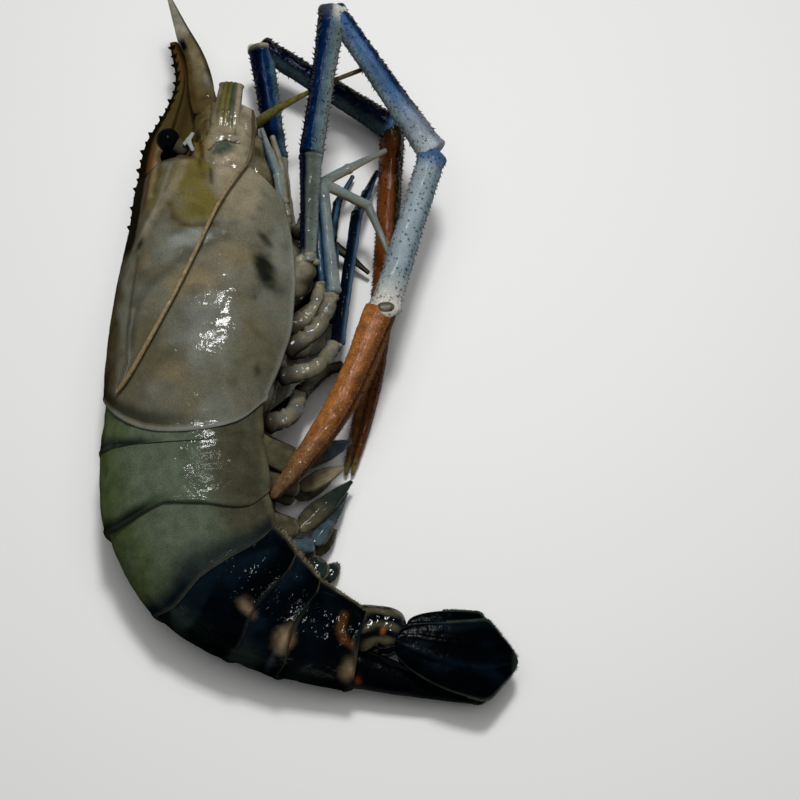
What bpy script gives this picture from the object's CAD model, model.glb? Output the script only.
"""A giant river prawn, raw and whole, lying on its left side.

Sizes and places are millimetres in the maker's own frame: head towards +Y, back towards -X, legs and
claws towards +X, right flank up. Every mesh is moved and scaled to the model's frame as it is finished.
"""

import logging
import random
from dataclasses import dataclass, field
from enum import Enum
from math import copysign, cos, degrees, hypot, pi, radians, sin, sqrt
from typing import Callable, Iterable, Sequence

import bmesh
import bpy
from mathutils import Matrix, Vector
from mathutils.noise import noise


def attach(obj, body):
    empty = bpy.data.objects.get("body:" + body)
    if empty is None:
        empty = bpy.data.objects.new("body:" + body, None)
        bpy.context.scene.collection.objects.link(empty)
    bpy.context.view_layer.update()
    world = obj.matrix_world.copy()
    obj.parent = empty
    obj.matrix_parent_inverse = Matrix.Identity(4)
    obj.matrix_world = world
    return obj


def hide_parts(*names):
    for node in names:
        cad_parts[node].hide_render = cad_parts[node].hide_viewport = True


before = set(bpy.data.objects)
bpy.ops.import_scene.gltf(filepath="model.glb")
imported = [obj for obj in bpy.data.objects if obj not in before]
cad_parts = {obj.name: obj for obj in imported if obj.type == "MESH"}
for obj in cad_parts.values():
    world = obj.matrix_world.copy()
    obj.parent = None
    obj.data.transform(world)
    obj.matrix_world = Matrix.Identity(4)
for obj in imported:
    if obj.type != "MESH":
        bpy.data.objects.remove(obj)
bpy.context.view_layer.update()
LOG = logging.getLogger("prawn")

MM = 0.001  # metres in a millimetre
BOX_MIDDLE = Vector((-25.83, 16.47, 0.0))  # what the model's frame calls its origin
REST_HEIGHT = 0.1  # the lowest that any skin may hang above the surface
MID_HEIGHT = 19.8  # height of the head's middle plane
WET_DEPTH = 0.0011  # metres from hollow to crest of the wet film
WATER_IOR = 1.36
FLESH_SPREAD = (1.0, 0.8, 0.6)  # how far red, green and blue light wander in the flesh
FLESH_DEPTH = 0.0015  # metres that they wander

Colour = tuple[float, ...]
Point = Sequence[float]
Place = Callable[[float, float], Vector]
Tint = Callable[[float, float, Vector], Colour]
Profile = Callable[[float], float]
Relief = Callable[[float, float], float]
Socket = bpy.types.NodeSocket
Settings = dict[str | int, object]


# ---- small maths
def clamp(value: float, low: float = 0.0, high: float = 1.0) -> float:
    """Keep a value between two limits."""
    return max(low, min(high, value))


def smooth(value: float, low: float, high: float) -> float:
    """Rise smoothly from 0 at low to 1 at high."""
    share = clamp((value - low) / (high - low))
    return share * share * (3 - 2 * share)


def fall(value: float, low: float, high: float) -> float:
    """Fall smoothly from 1 at low to 0 at high."""
    return 1 - smooth(value, low, high)


def hump(value: float, middle: float, span: float) -> float:
    """Rise to 1 at the middle and fall to 0 at the given half span."""
    share = abs(value - middle) / span
    return (1 + cos(pi * share)) / 2 if share < 1 else 0.0


def blunt(share: float, power: float) -> float:
    """Round off a length towards both ends, the later the higher the power."""
    return sqrt(max(0.0, 1 - abs(2 * share - 1) ** power))


def dome(beyond: float) -> float:
    """Stay at 1 up to 0 and fall in a quarter circle to 0 at 1."""
    return sqrt(max(0.0, 1 - max(0.0, beyond) ** 2))


def crowd(along: float) -> float:
    """Crowd even steps along a length towards both ends."""
    return (1 - cos(pi * along)) / 2


def upward(turn: float, low: float = 0.1, high: float = 0.6) -> float:
    """Rise from 0 to 1 as a turn comes to face up."""
    return smooth(sin(turn), low, high)


def ripple(x: float, y: float, z: float) -> float:
    """Give a smooth noise's value at three coordinates."""
    return noise(Vector((x, y, z)))


def mix(first: Colour, second: Colour, share: float) -> Colour:
    """Blend two colours by a share of the second."""
    return tuple(a + (b - a) * share for a, b in zip(first, second))


def dim(colour: Colour, share: float) -> Colour:
    """Multiply a colour's brightness."""
    return tuple(channel * share for channel in colour)


def linear(red: int, green: int, blue: int) -> Colour:
    """Turn a display colour of 0 to 255 into linear light.

    Args:
        red, green, blue: the display values.

    Returns:
        The three linear values.
    """
    def channel(value: int) -> float:
        """Turn one display value into linear light."""
        share = value / 255
        return share / 12.92 if share <= 0.04045 else ((share + 0.055) / 1.055) ** 2.4
    return channel(red), channel(green), channel(blue)


class Tone(tuple, Enum):
    """Named colours of the prawn."""
    SHELL = linear(94, 94, 82)
    SHELL_LOW = linear(88, 88, 73)
    SHELL_WARM = linear(122, 108, 80)
    SHELL_SIDE = linear(80, 74, 52)
    BAND = linear(64, 54, 30)
    SPOT = linear(36, 26, 6)
    OLIVE = linear(94, 85, 42)
    OLIVE_LIGHT = linear(103, 97, 76)
    BLUE_GREY = linear(124, 128, 120)
    HONEY = linear(124, 110, 74)
    SLATE = linear(12, 18, 12)
    BEIGE = linear(126, 117, 96)
    PINK_BEIGE = linear(146, 134, 112)
    RIM = linear(138, 142, 138)
    BLADE = linear(66, 54, 28)
    BLADE_HONEY = linear(150, 128, 92)
    BLADE_DARK = linear(16, 13, 5)
    BLADE_RED = linear(84, 50, 24)
    RING_GREEN = linear(70, 80, 48)
    RING_MID = linear(78, 88, 72)
    RING_FLANK = linear(62, 60, 46)
    RING_DARK = linear(16, 24, 18)
    NAVY = linear(8, 18, 26)
    BLACK_BLUE = linear(1, 3, 5)
    MOSS_GREY = linear(30, 40, 36)
    ORANGE_SPOT = linear(128, 72, 38)
    CREAM_SPOT = linear(146, 126, 98)
    FIN = linear(0, 2, 4)
    FIN_RIM = linear(48, 54, 48)
    ARM_NAVY = linear(0, 5, 28)
    ARM_BLUE = linear(0, 28, 64)
    ARM_PALE = linear(104, 122, 130)
    PALM = linear(132, 146, 152)
    GREY_LIMB = linear(108, 112, 104)
    BONE = linear(182, 180, 170)
    CLAW = linear(140, 88, 42)
    CLAW_DARK = linear(92, 56, 26)
    CLAW_RED = linear(72, 34, 6)
    CLAW_TIP = linear(96, 72, 50)
    LEG = linear(104, 114, 112)
    LEG_BLUE = linear(58, 84, 108)
    LEG_NAVY = linear(1, 8, 20)
    FLESH = linear(94, 88, 68)
    FLESH_DARK = linear(30, 24, 12)
    PALE_LIMB = linear(124, 120, 104)
    SWIM = linear(76, 72, 54)
    SWIM_BLUE = linear(60, 74, 82)
    SWIM_TAN = linear(132, 122, 100)
    EYE = linear(6, 7, 9)
    EYE_STALK = linear(62, 58, 46)
    DOME_GREEN = linear(64, 74, 58)
    FEELER = linear(132, 116, 84)
    FEELER_DARK = linear(70, 58, 38)
    OLIVE_ROD = linear(92, 88, 46)
    MERUS_PALE = linear(66, 88, 98)
    ISCHIUM = linear(76, 84, 76)
    ARM_WHITE = linear(146, 156, 160)
    BROWN_BLACK = linear(26, 18, 5)
    CARPUS_BLUE = linear(52, 84, 122)
    FAR_BLUE = linear(54, 70, 74)
    FAR_RED = linear(98, 52, 18)
    SCALE_BROWN = linear(102, 92, 70)
    SCALE_PALE = linear(122, 118, 104)


# ---- the body's form
# From head to tail: station along the midline, heading in degrees, reach of the back, reach of the
# belly, half width and height of the midline above the surface.
STATIONS: tuple[tuple[float, ...], ...] = (
    (-81.0, -90, 15.5, 18.0, 10.5, 19.8),
    (-71.0, -90, 17.4, 23.6, 14.6, 19.8),
    (-59.0, -90, 18.4, 27.9, 17.6, 19.8),
    (-41.0, -90, 20.2, 30.6, 19.7, 19.6),
    (-23.0, -90, 21.8, 30.2, 20.1, 19.6),
    (-11.0, -90, 22.0, 27.2, 19.8, 19.4),
    (0.0, -90, 22.0, 23.0, 18.9, 18.5),
    (10.0, -88, 22.6, 23.0, 18.4, 18.0),
    (28.5, -76, 22.8, 23.0, 18.0, 17.6),
    (47.0, -53, 19.8, 21.0, 16.2, 15.8),
    (63.0, -32, 14.8, 19.6, 14.0, 13.6),
    (75.5, -21, 12.6, 15.6, 12.2, 11.8),
    (92.5, -14, 9.8, 11.0, 10.0, 9.6),
    (101.0, -14, 8.0, 9.0, 8.0, 9.0),
)
MIDLINE_START = (-61.0, -11.0)
MIDLINE_STEP = 0.5
BACK_POWER = 2.15
BELLY_POWER = 2.6
EDGE_TURN = radians(150)  # where the flanks end in their lower edges
SHELL_RISE = 1.0
RING_RISE = 0.9
UNDERLAP = 3.0
JOINT_LAP = 0.7  # how far a limb's length runs past its joint
HAIR_ROOT = 0.1  # how deep a hair's foot sits in the skin
HAIR_SIDES = 3
SOCKET_BLACK = (0.0004, 0.0004, 0.0003, 0.0)  # the hollow before the eye, which never shines


def read(table: Sequence[Sequence[float]], station: float, column: int) -> float:
    """Read a column of a table smoothly between its rows.

    Args:
        table: rows that start with their station.
        station: where to read.
        column: which value to read.

    Returns:
        The value there.
    """
    last = len(table) - 2
    row = 0
    while row < last and station > table[row + 1][0]:
        row += 1

    def slope(index: int) -> float:
        """Give the table's slope at a row."""
        before = table[max(index - 1, 0)]
        after = table[min(index + 1, len(table) - 1)]
        return (after[column] - before[column]) / (after[0] - before[0])

    start, end = table[row], table[row + 1]
    run = end[0] - start[0]
    share = clamp((station - start[0]) / run)
    ease = share * share * (3 - 2 * share)
    bend = share * (1 - share) * run * (slope(row) * (1 - share) - slope(row + 1) * share)
    return start[column] + (end[column] - start[column]) * ease + bend


def lay_midline() -> list[tuple[float, float]]:
    """Follow the headings from the rear of the thorax to the tail.

    Returns:
        The midline's points, one for each half millimetre.
    """
    x, y = MIDLINE_START
    line = []
    steps = int(STATIONS[-1][0] / MIDLINE_STEP)
    for index in range(steps + 1):
        line.append((x, y))
        heading = radians(read(STATIONS, (index + 0.5) * MIDLINE_STEP, 1))
        x += cos(heading) * MIDLINE_STEP
        y += sin(heading) * MIDLINE_STEP
    return line


MIDLINE = lay_midline()


def spine(station: float) -> tuple[float, float, float, float]:
    """Give the midline's point and the direction of the back at a station.

    Args:
        station: place along the midline.

    Returns:
        x, y of the point and x, y of the direction.
    """
    if station <= 0:
        return MIDLINE_START[0], MIDLINE_START[1] - station, -1.0, 0.0
    index = int(clamp(station / MIDLINE_STEP, 0, len(MIDLINE) - 2))
    share = station / MIDLINE_STEP - index
    (x0, y0), (x1, y1) = MIDLINE[index], MIDLINE[index + 1]
    heading = radians(read(STATIONS, station, 1))
    return x0 + (x1 - x0) * share, y0 + (y1 - y0) * share, sin(heading), -cos(heading)


def body_point(station: float, turn: float, out: float, reach: float = 1.0, groove: float = 0.3) -> Vector:
    """Give a point of the body's skin.

    Args:
        station: place along the midline.
        turn: 0 at the back, a quarter turn up on the right flank, half a turn at the belly.
        out: how far the point stands out from the skin.
        reach: 1 on the skin and 0 at the midline.
        groove: depth of the belly groove as a share of the reach.

    Returns:
        The point.
    """
    angle = min(abs(turn), EDGE_TURN)
    inward = max(0.0, abs(turn) - EDGE_TURN) / (pi - EDGE_TURN)
    on_back = angle <= pi / 2
    power = 2 / (BACK_POWER if on_back else BELLY_POWER)
    if on_back:
        extent = read(STATIONS, station, 2) + out
    else:
        extent = -(read(STATIONS, station, 3) + out) / abs(cos(EDGE_TURN)) ** power
    across = extent * abs(cos(angle)) ** power * (1 - groove * smooth(inward, 0, 1)) * reach
    lift = (read(STATIONS, station, 4) + out) * sin(angle) ** power * (1 - inward) * reach
    x, y, back_x, back_y = spine(station)
    height = read(STATIONS, station, 5) + copysign(lift, turn)
    return Vector((x + back_x * across, y + back_y * across, height))


def shell_front(turn: float) -> float:
    """Station of the thorax shell's front edge.

    Args:
        turn: angle round the body, 0 at the back.

    Returns:
        The station.
    """
    angle = abs(turn)
    rise = 1.5 * hump(angle, radians(90), radians(60))
    return -74 - rise + 18 * smooth(angle, radians(120), radians(178))


def shell_rear(turn: float) -> float:
    """Station of the thorax shell's rear edge, which bulges over the flanks."""
    drop = 4 * smooth(abs(turn), radians(120), radians(178))
    return -4 + 14.8 * abs(sin(turn)) ** 1.5 - drop


# ---- mesh helpers
class Route:
    """A smooth line through points, read by its share of the whole length."""

    SAMPLES = 120

    def __init__(self, points: Iterable[Point]) -> None:
        """Prepare the line.

        Args:
            points: two or more points, in millimetres.
        """
        self.points = [Vector(point) for point in points]
        self.line = [self._raw(index / self.SAMPLES) for index in range(self.SAMPLES + 1)]
        self.lengths = [0.0]
        for before, after in zip(self.line, self.line[1:]):
            self.lengths.append(self.lengths[-1] + (after - before).length)

    def _raw(self, share: float) -> Vector:
        """Give a point by its share of the spans between the points.

        Args:
            share: place along the spans, from 0 to 1.

        Returns:
            The point.
        """
        points = self.points
        if len(points) == 2:
            return points[0].lerp(points[1], share)
        spans = len(points) - 1
        index = min(int(share * spans), spans - 1)
        weight = share * spans - index
        p1, p2 = points[index], points[index + 1]
        p0 = points[index - 1] if index > 0 else 2 * p1 - p2
        p3 = points[index + 2] if index + 2 < len(points) else 2 * p2 - p1
        d0, d1, d2 = ((b - a).length ** 0.5 for a, b in ((p0, p1), (p1, p2), (p2, p3)))
        t1 = ((p1 - p0) / d0 - (p2 - p0) / (d0 + d1) + (p2 - p1) / d1) * d1
        t2 = ((p2 - p1) / d1 - (p3 - p1) / (d1 + d2) + (p3 - p2) / d2) * d1
        square = weight * weight
        bend = (3 * (p2 - p1) - 2 * t1 - t2) * square + (2 * (p1 - p2) + t1 + t2) * square * weight
        return p1 + t1 * weight + bend

    def at(self, share: float) -> Vector:
        """Give the point at a share of the line's length.

        Args:
            share: place along it, from 0 to 1.

        Returns:
            The point.
        """
        goal = clamp(share) * self.lengths[-1]
        low, high = 0, len(self.lengths) - 2
        while low < high:
            middle = (low + high + 1) // 2
            if self.lengths[middle] <= goal:
                low = middle
            else:
                high = middle - 1
        span = self.lengths[low + 1] - self.lengths[low]
        return self.line[low].lerp(self.line[low + 1], (goal - self.lengths[low]) / span if span else 0)

    def run(self, share: float) -> Vector:
        """Give the line's direction at a share of its length."""
        return (self.at(share + 0.01) - self.at(share - 0.01)).normalized()

    def frame(self, share: float) -> tuple[Vector, Vector, Vector]:
        """Give the point, the sideways direction and the upward direction at a share.

        Args:
            share: place along it, from 0 to 1.

        Returns:
            The three vectors.
        """
        run = self.run(share)
        guide = Vector((0, 1, 0)) if abs(run.z) > 0.95 else Vector((0, 0, 1))
        up = (guide - run * run.dot(guide)).normalized()
        return self.at(share), up.cross(run), up

    def outward(self, share: float, turn: float, wide: float = 1.0,
                deep: float = 1.0) -> tuple[Vector, Vector]:
        """Give the point at a share and the way out of it at a turn, 0 being right and a quarter turn up."""
        middle, side, up = self.frame(share)
        return middle, up * sin(turn) * deep - side * cos(turn) * wide


class Sculpt:
    """A mesh in the making, with a colour on every vertex; a fourth value is how wet it is there."""

    BATCH = 60  # spines and hairs planted at a time
    MERGE_GAP = 0.002  # points nearer than this are one

    def __init__(self) -> None:
        """Start with an empty mesh."""
        self.bm = bmesh.new()
        self.tint = self.bm.verts.layers.float_color.new("tint")
        self.pins: list[tuple[Vector, Vector, float, int, Colour]] = []

    def sleeve(self, around: int, steps: int, place: Place, tint: Tint) -> None:
        """Add a closed skin of rings.

        Args:
            around: faces round each ring.
            steps: faces from end to end.
            place: gives the point at a share along the skin and a turn round it.
            tint: gives the colour at the same share and turn, and at the point.
        """
        made = bmesh.ops.create_grid(self.bm, x_segments=steps, y_segments=around, size=1.0)["verts"]
        for vert in made:
            along, turn = (vert.co.x + 1) / 2, vert.co.y * pi
            vert.co = place(along, turn)
            vert[self.tint] = (*tint(along, turn, vert.co), 1.0)[:4]
        bmesh.ops.remove_doubles(self.bm, verts=made, dist=self.MERGE_GAP)
        kept = [vert for vert in made if vert.is_valid]
        rims = dict.fromkeys(edge for vert in kept for edge in vert.link_edges if edge.is_boundary)
        if rims:
            bmesh.ops.holes_fill(self.bm, edges=list(rims), sides=0)
        faces = dict.fromkeys(face for vert in kept for face in vert.link_faces)
        bmesh.ops.recalc_face_normals(self.bm, faces=list(faces))

    def tube(self, route: Route, wide: Profile, deep: Profile, tint: Tint, around: int = 16,
             steps: int = 24, relief: Relief = lambda share, turn: 0.0) -> None:
        """Add a tube along a route.

        Args:
            route: the line that it follows.
            wide: half width by share of the length.
            deep: half depth by share of the length.
            tint: gives the colours.
            around: faces round it.
            steps: faces along it.
            relief: how far the surface stands out at a share and a turn.
        """
        frames = {}

        def place(along: float, turn: float) -> Vector:
            """Give the point at a share and a turn."""
            share = crowd(along)
            if share not in frames:
                frames[share] = route.frame(share)
            middle, side, up = frames[share]
            out = relief(share, turn)
            half = wide(share)
            out = out if half > 0.05 else 0.0
            return middle - side * cos(turn) * (half + out) + up * sin(turn) * (deep(share) + out)

        def shaded(along: float, turn: float, point: Vector) -> Colour:
            """Give the colour where the crowded rings lie."""
            return tint(crowd(along), turn, point)

        self.sleeve(around, steps, place, shaded)

    def ball(self, middle: Point, radii: Point, colour: Colour, around: int) -> None:
        """Add an ellipsoid in one colour.

        Args:
            middle: its middle.
            radii: its three half sizes.
            colour: its colour.
            around: faces round it.
        """
        matrix = Matrix.Translation(middle) @ Matrix.Diagonal((*radii, 1.0))
        made = bmesh.ops.create_uvsphere(
            self.bm, u_segments=around, v_segments=around // 2 + 2, radius=1.0, matrix=matrix)["verts"]
        for vert in made:
            vert[self.tint] = (*colour, 1.0)[:4]

    def cone(self, foot: Vector, tip: Vector, half: float, colour: Colour, sides: int) -> None:
        """Note a small spine or hair, to be planted from its foot to its tip."""
        self.pins.append((foot, tip, half, sides, colour))

    def plant(self) -> None:
        """Add the spines and hairs, a batch at a time, since a small mesh is quick to add to."""
        for first in range(0, len(self.pins), self.BATCH):
            small = bmesh.new()
            tint = small.verts.layers.float_color.new("tint")
            for foot, tip, half, sides, colour in self.pins[first:first + self.BATCH]:
                run = tip - foot
                turned = run.to_track_quat("Z", "Y").to_matrix().to_4x4()
                made = bmesh.ops.create_cone(
                    small, cap_ends=True, segments=sides, radius1=half, radius2=half * 0.08,
                    depth=run.length, matrix=Matrix.Translation((foot + tip) / 2) @ turned)["verts"]
                for vert in made:
                    vert[tint] = (*colour, 1.0)[:4]
            batch = bpy.data.meshes.new("batch")
            small.to_mesh(batch)
            small.free()
            self.bm.from_mesh(batch)
            bpy.data.meshes.remove(batch)


class Bench:
    """A material's nodes in the making; every pattern reads the object's own coordinates."""

    def __init__(self, material: bpy.types.Material) -> None:
        """Start from a material's default nodes.

        Args:
            material: the new material.
        """
        material.use_nodes = True
        self.tree = material.node_tree
        self.shader = self.tree.nodes["Principled BSDF"]
        self.place = self.add("ShaderNodeTexCoord").outputs["Object"]

    def add(self, kind: str, settings: Settings | None = None, operation: str = "") -> bpy.types.Node:
        """Add a node.

        Args:
            kind: the node's type.
            settings: numbers and sockets for its inputs.
            operation: what a maths node does.

        Returns:
            The node.
        """
        node = self.tree.nodes.new(kind)
        if operation:
            node.operation = operation
        self.plug(node, settings or {})
        return node

    def plug(self, node: bpy.types.Node, settings: Settings) -> None:
        """Link the sockets among a node's settings and set the numbers.

        Args:
            node: the node.
            settings: what its inputs get, by the inputs' names or places.
        """
        for name, value in settings.items():
            if isinstance(value, bpy.types.NodeSocket):
                self.tree.links.new(value, node.inputs[name])
            else:
                node.inputs[name].default_value = value

    def noise(self, scale: float, detail: float) -> Socket:
        """Add a noise and give its value."""
        settings = {"Vector": self.place, "Scale": scale, "Detail": detail}
        return self.add("ShaderNodeTexNoise", settings).outputs["Fac"]

    def spread(self, value: Socket, low: float, high: float, start: float = 0.3, end: float = 0.7) -> Socket:
        """Stretch a pattern's values from start to end between two limits."""
        settings = {"Value": value, "From Min": start, "From Max": end, "To Min": low, "To Max": high}
        return self.add("ShaderNodeMapRange", settings).outputs["Result"]

    def shade(self, colour: Socket, factor: Socket) -> Socket:
        """Multiply a colour by a pattern."""
        return self.add("ShaderNodeVectorMath", {0: colour, "Scale": factor}, "SCALE").outputs["Vector"]

    def vary(self, colour: Socket, value: Socket, share: float) -> Socket:
        """Lighten and darken a colour by a noise."""
        return self.shade(colour, self.spread(value, 1 - share, 1 + share))

    def specks(self, colour: Socket, depth: float, scale: float) -> Socket:
        """Darken small round specks."""
        cells = self.add("ShaderNodeTexVoronoi", {"Vector": self.place, "Scale": scale})
        return self.shade(colour, self.spread(cells.outputs["Distance"], 1 - depth, 1.0, 0.12, 0.26))

    def bump(self, scale: float, strength: float, depth: float) -> Socket:
        """Add a bump from a noise and give its normal."""
        settings = {"Height": self.noise(scale, 3.0), "Strength": strength, "Distance": depth}
        return self.add("ShaderNodeBump", settings).outputs["Normal"]


@dataclass(frozen=True)
class Finish:
    """A skin whose colour comes from the vertices, under a film of water.

    Blotches, grain and specks break the colour up. The film is thick where the vertex colour's fourth
    value is high, and its gleam is the roughness of its highlights. Scales count waves to the metre.
    """
    name: str
    slot: str
    rough: float = 0.28
    coat: float = 0.5
    blotch: float = 0.18
    blotch_scale: float = 160.0
    grain: float = 0.12
    grain_scale: float = 2600.0
    speck: float = 0.0
    speck_scale: float = 900.0
    bump: float = 0.25
    bump_scale: float = 1100.0
    bump_depth: float = 0.00012
    soft: float = 0.0
    wet: float = 0.6
    wet_scale: float = 420.0
    gleam: float = 0.1

    def material(self) -> bpy.types.Material:
        """Make the material, or give it back if it is there already.

        Returns:
            The material.
        """
        known = bpy.data.materials.get(self.name)
        if known:
            return known
        made = bpy.data.materials.new(self.name)
        bench = Bench(made)
        tint = bench.add("ShaderNodeAttribute")
        tint.attribute_name = "tint"
        blotches = bench.noise(self.blotch_scale, 4.0)
        colour = bench.vary(tint.outputs["Color"], blotches, self.blotch)
        colour = bench.vary(colour, bench.noise(self.grain_scale, 2.0), self.grain)
        if self.speck > 0:
            colour = bench.specks(colour, self.speck, self.speck_scale)
        film = bench.add("ShaderNodeMath", {0: tint.outputs["Alpha"], 1: self.coat}, "MULTIPLY")
        bench.plug(bench.shader, {
            "Base Color": colour,
            "Roughness": bench.spread(blotches, self.rough * 0.7, self.rough * 1.35),
            "Normal": bench.bump(self.bump_scale, self.bump, self.bump_depth),
            "Specular IOR Level": 0.0,
            "Coat Weight": film.outputs["Value"],
            "Coat Roughness": self.gleam,
            "Coat IOR": WATER_IOR,
            "Coat Normal": bench.bump(self.wet_scale, self.wet, WET_DEPTH),
        })
        if self.soft > 0:
            bench.plug(bench.shader, {
                "Subsurface Weight": self.soft,
                "Subsurface Radius": FLESH_SPREAD,
                "Subsurface Scale": FLESH_DEPTH,
            })
        return made


WET_SHELL = Finish("wet_shell", "shell", rough=0.5, coat=0.5, soft=0.1, blotch=0.12, blotch_scale=140,
    grain=0.2, bump=0.35, bump_scale=900, wet=0.15, wet_scale=380, gleam=0.08)
WET_RING = Finish("wet_ring", "ring_olive", rough=0.55, coat=0.4, blotch=0.25, blotch_scale=240, grain=0.22,
    bump=0.6, bump_scale=800, wet=0.24, wet_scale=420, gleam=0.09)
WET_NAVY_RING = Finish("wet_navy_ring", "ring_navy", rough=0.5, coat=0.5, blotch=0.35, blotch_scale=260,
    bump=0.7, bump_scale=800, wet=0.6, wet_scale=440, gleam=0.07)
WET_FIN = Finish("wet_fin", "fin", rough=0.5, coat=0.1, blotch=0.4, blotch_scale=300, bump=0.4, wet=0.2,
    wet_scale=420, gleam=0.2)
HORNY_NAVY = Finish("horny_navy", "arm_navy", rough=0.55, coat=0.4, blotch=0.25, bump=0.9, bump_scale=1500,
    grain=0.3, speck=0.5, speck_scale=620, wet=0.65, wet_scale=700, gleam=0.05)
HORNY_PALE = Finish("horny_pale", "arm_pale", rough=0.55, coat=0.7, blotch=0.12, bump=0.9, bump_scale=1500,
    grain=0.2, speck=0.75, speck_scale=520, wet=0.6, wet_scale=700, gleam=0.05)
DOWNY_CLAW = Finish("downy_claw", "claw", rough=0.65, coat=0.9, blotch=0.35, blotch_scale=420, grain=0.4,
    bump=1.0, bump_scale=1900, wet=0.62, wet_scale=700, gleam=0.05)
LEG_SHELL = Finish("leg_shell", "leg", rough=0.5, coat=0.8, blotch=0.25, grain=0.2, bump=0.6,
    bump_scale=1100, wet=0.4, wet_scale=560, gleam=0.08)
WET_FLESH = Finish("wet_flesh", "flesh", rough=0.5, coat=1.0, blotch=0.3, blotch_scale=320, soft=0.1,
    bump=0.7, bump_scale=700, wet=0.4, wet_scale=450, gleam=0.07)
MATTE_EYE = Finish("matte_eye", "eye", rough=0.6, coat=0.3, blotch=0.1, grain=0.05, bump=0.3, wet=0.4)
HORNY_THREAD = Finish("horny_thread", "feeler", rough=0.5, coat=0.2, blotch=0.3, blotch_scale=900)


def publish(name: str, sculpt: Sculpt, finish: Finish, *nodes: str) -> bpy.types.Object:
    """Turn a sculpt into a finished piece of the prawn.

    Args:
        name: the piece's name.
        sculpt: the mesh in the making, in millimetres; it is used up.
        finish: the surface.
        nodes: the solids that the piece stands for.

    Returns:
        The new object.
    """
    sculpt.plant()
    bm = sculpt.bm
    for vert in bm.verts:
        vert.co.z = max(vert.co.z, REST_HEIGHT)
    bmesh.ops.translate(bm, verts=bm.verts, vec=-BOX_MIDDLE)
    bmesh.ops.scale(bm, verts=bm.verts, vec=(MM, MM, MM))
    mesh = bpy.data.meshes.new(name)
    bm.to_mesh(mesh)
    bm.free()
    mesh.shade_smooth()
    piece = bpy.data.objects.new(name, mesh)
    bpy.context.scene.collection.objects.link(piece)
    mesh.materials.append(finish.material())
    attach(piece, "root")
    if nodes:
        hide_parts(*nodes)
    LOG.info("%s: %d faces for %s", name, len(mesh.polygons), ", ".join(nodes) or "no node")
    return piece


# ---- thorax shell
@dataclass(frozen=True)
class Patch:
    """A soft-edged patch of colour and relief on a flank, seen from above."""
    tone: Tone
    middle: tuple[float, float]
    half: tuple[float, float]
    lean: float = 0.0
    share: float = 1.0
    crisp: float = 0.0
    height: float = 0.0

    def weight(self, point: Vector) -> float:
        """Give how strongly the patch covers a point.

        Args:
            point: the point, in millimetres.

        Returns:
            The share, from 0 to 1.
        """
        x, y = point.x - self.middle[0], point.y - self.middle[1]
        lean = radians(self.lean)
        u = (x * cos(lean) + y * sin(lean)) / self.half[0]
        v = (y * cos(lean) - x * sin(lean)) / self.half[1]
        plan = Vector((point.x, point.y, 0))
        wobble = 0.3 * noise(plan * 0.22) + 0.14 * noise(plan * 0.8)
        far = hypot(u, v) + wobble
        return self.share * fall(far, self.crisp, 1.0)


@dataclass(frozen=True)
class Stroke:
    """A soft-edged line of colour and relief along a path on a flank, seen from above."""
    tone: Tone
    path: tuple[tuple[float, float], ...]
    half: float
    share: float = 1.0
    height: float = 0.0

    def weight(self, point: Vector) -> float:
        """Give how strongly the stroke covers a point, from 0 to 1."""
        wobble = 0.3 * self.half * noise(Vector((point.x, point.y, 5)) * 0.5)
        return self.share * hump(path_distance(point, self.path) + wobble, 0, self.half)


def path_distance(point: Vector, path: Sequence[tuple[float, float]]) -> float:
    """Give the distance in plan from a point to a path.

    Args:
        point: the point.
        path: the path's corners.

    Returns:
        The distance in millimetres.
    """
    best = 1e9
    spot = Vector((point.x, point.y))
    for start, end in zip(path, path[1:]):
        a, b = Vector(start), Vector(end)
        share = clamp((spot - a).dot(b - a) / (b - a).length_squared)
        best = min(best, (spot - a.lerp(b, share)).length)
    return best


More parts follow.
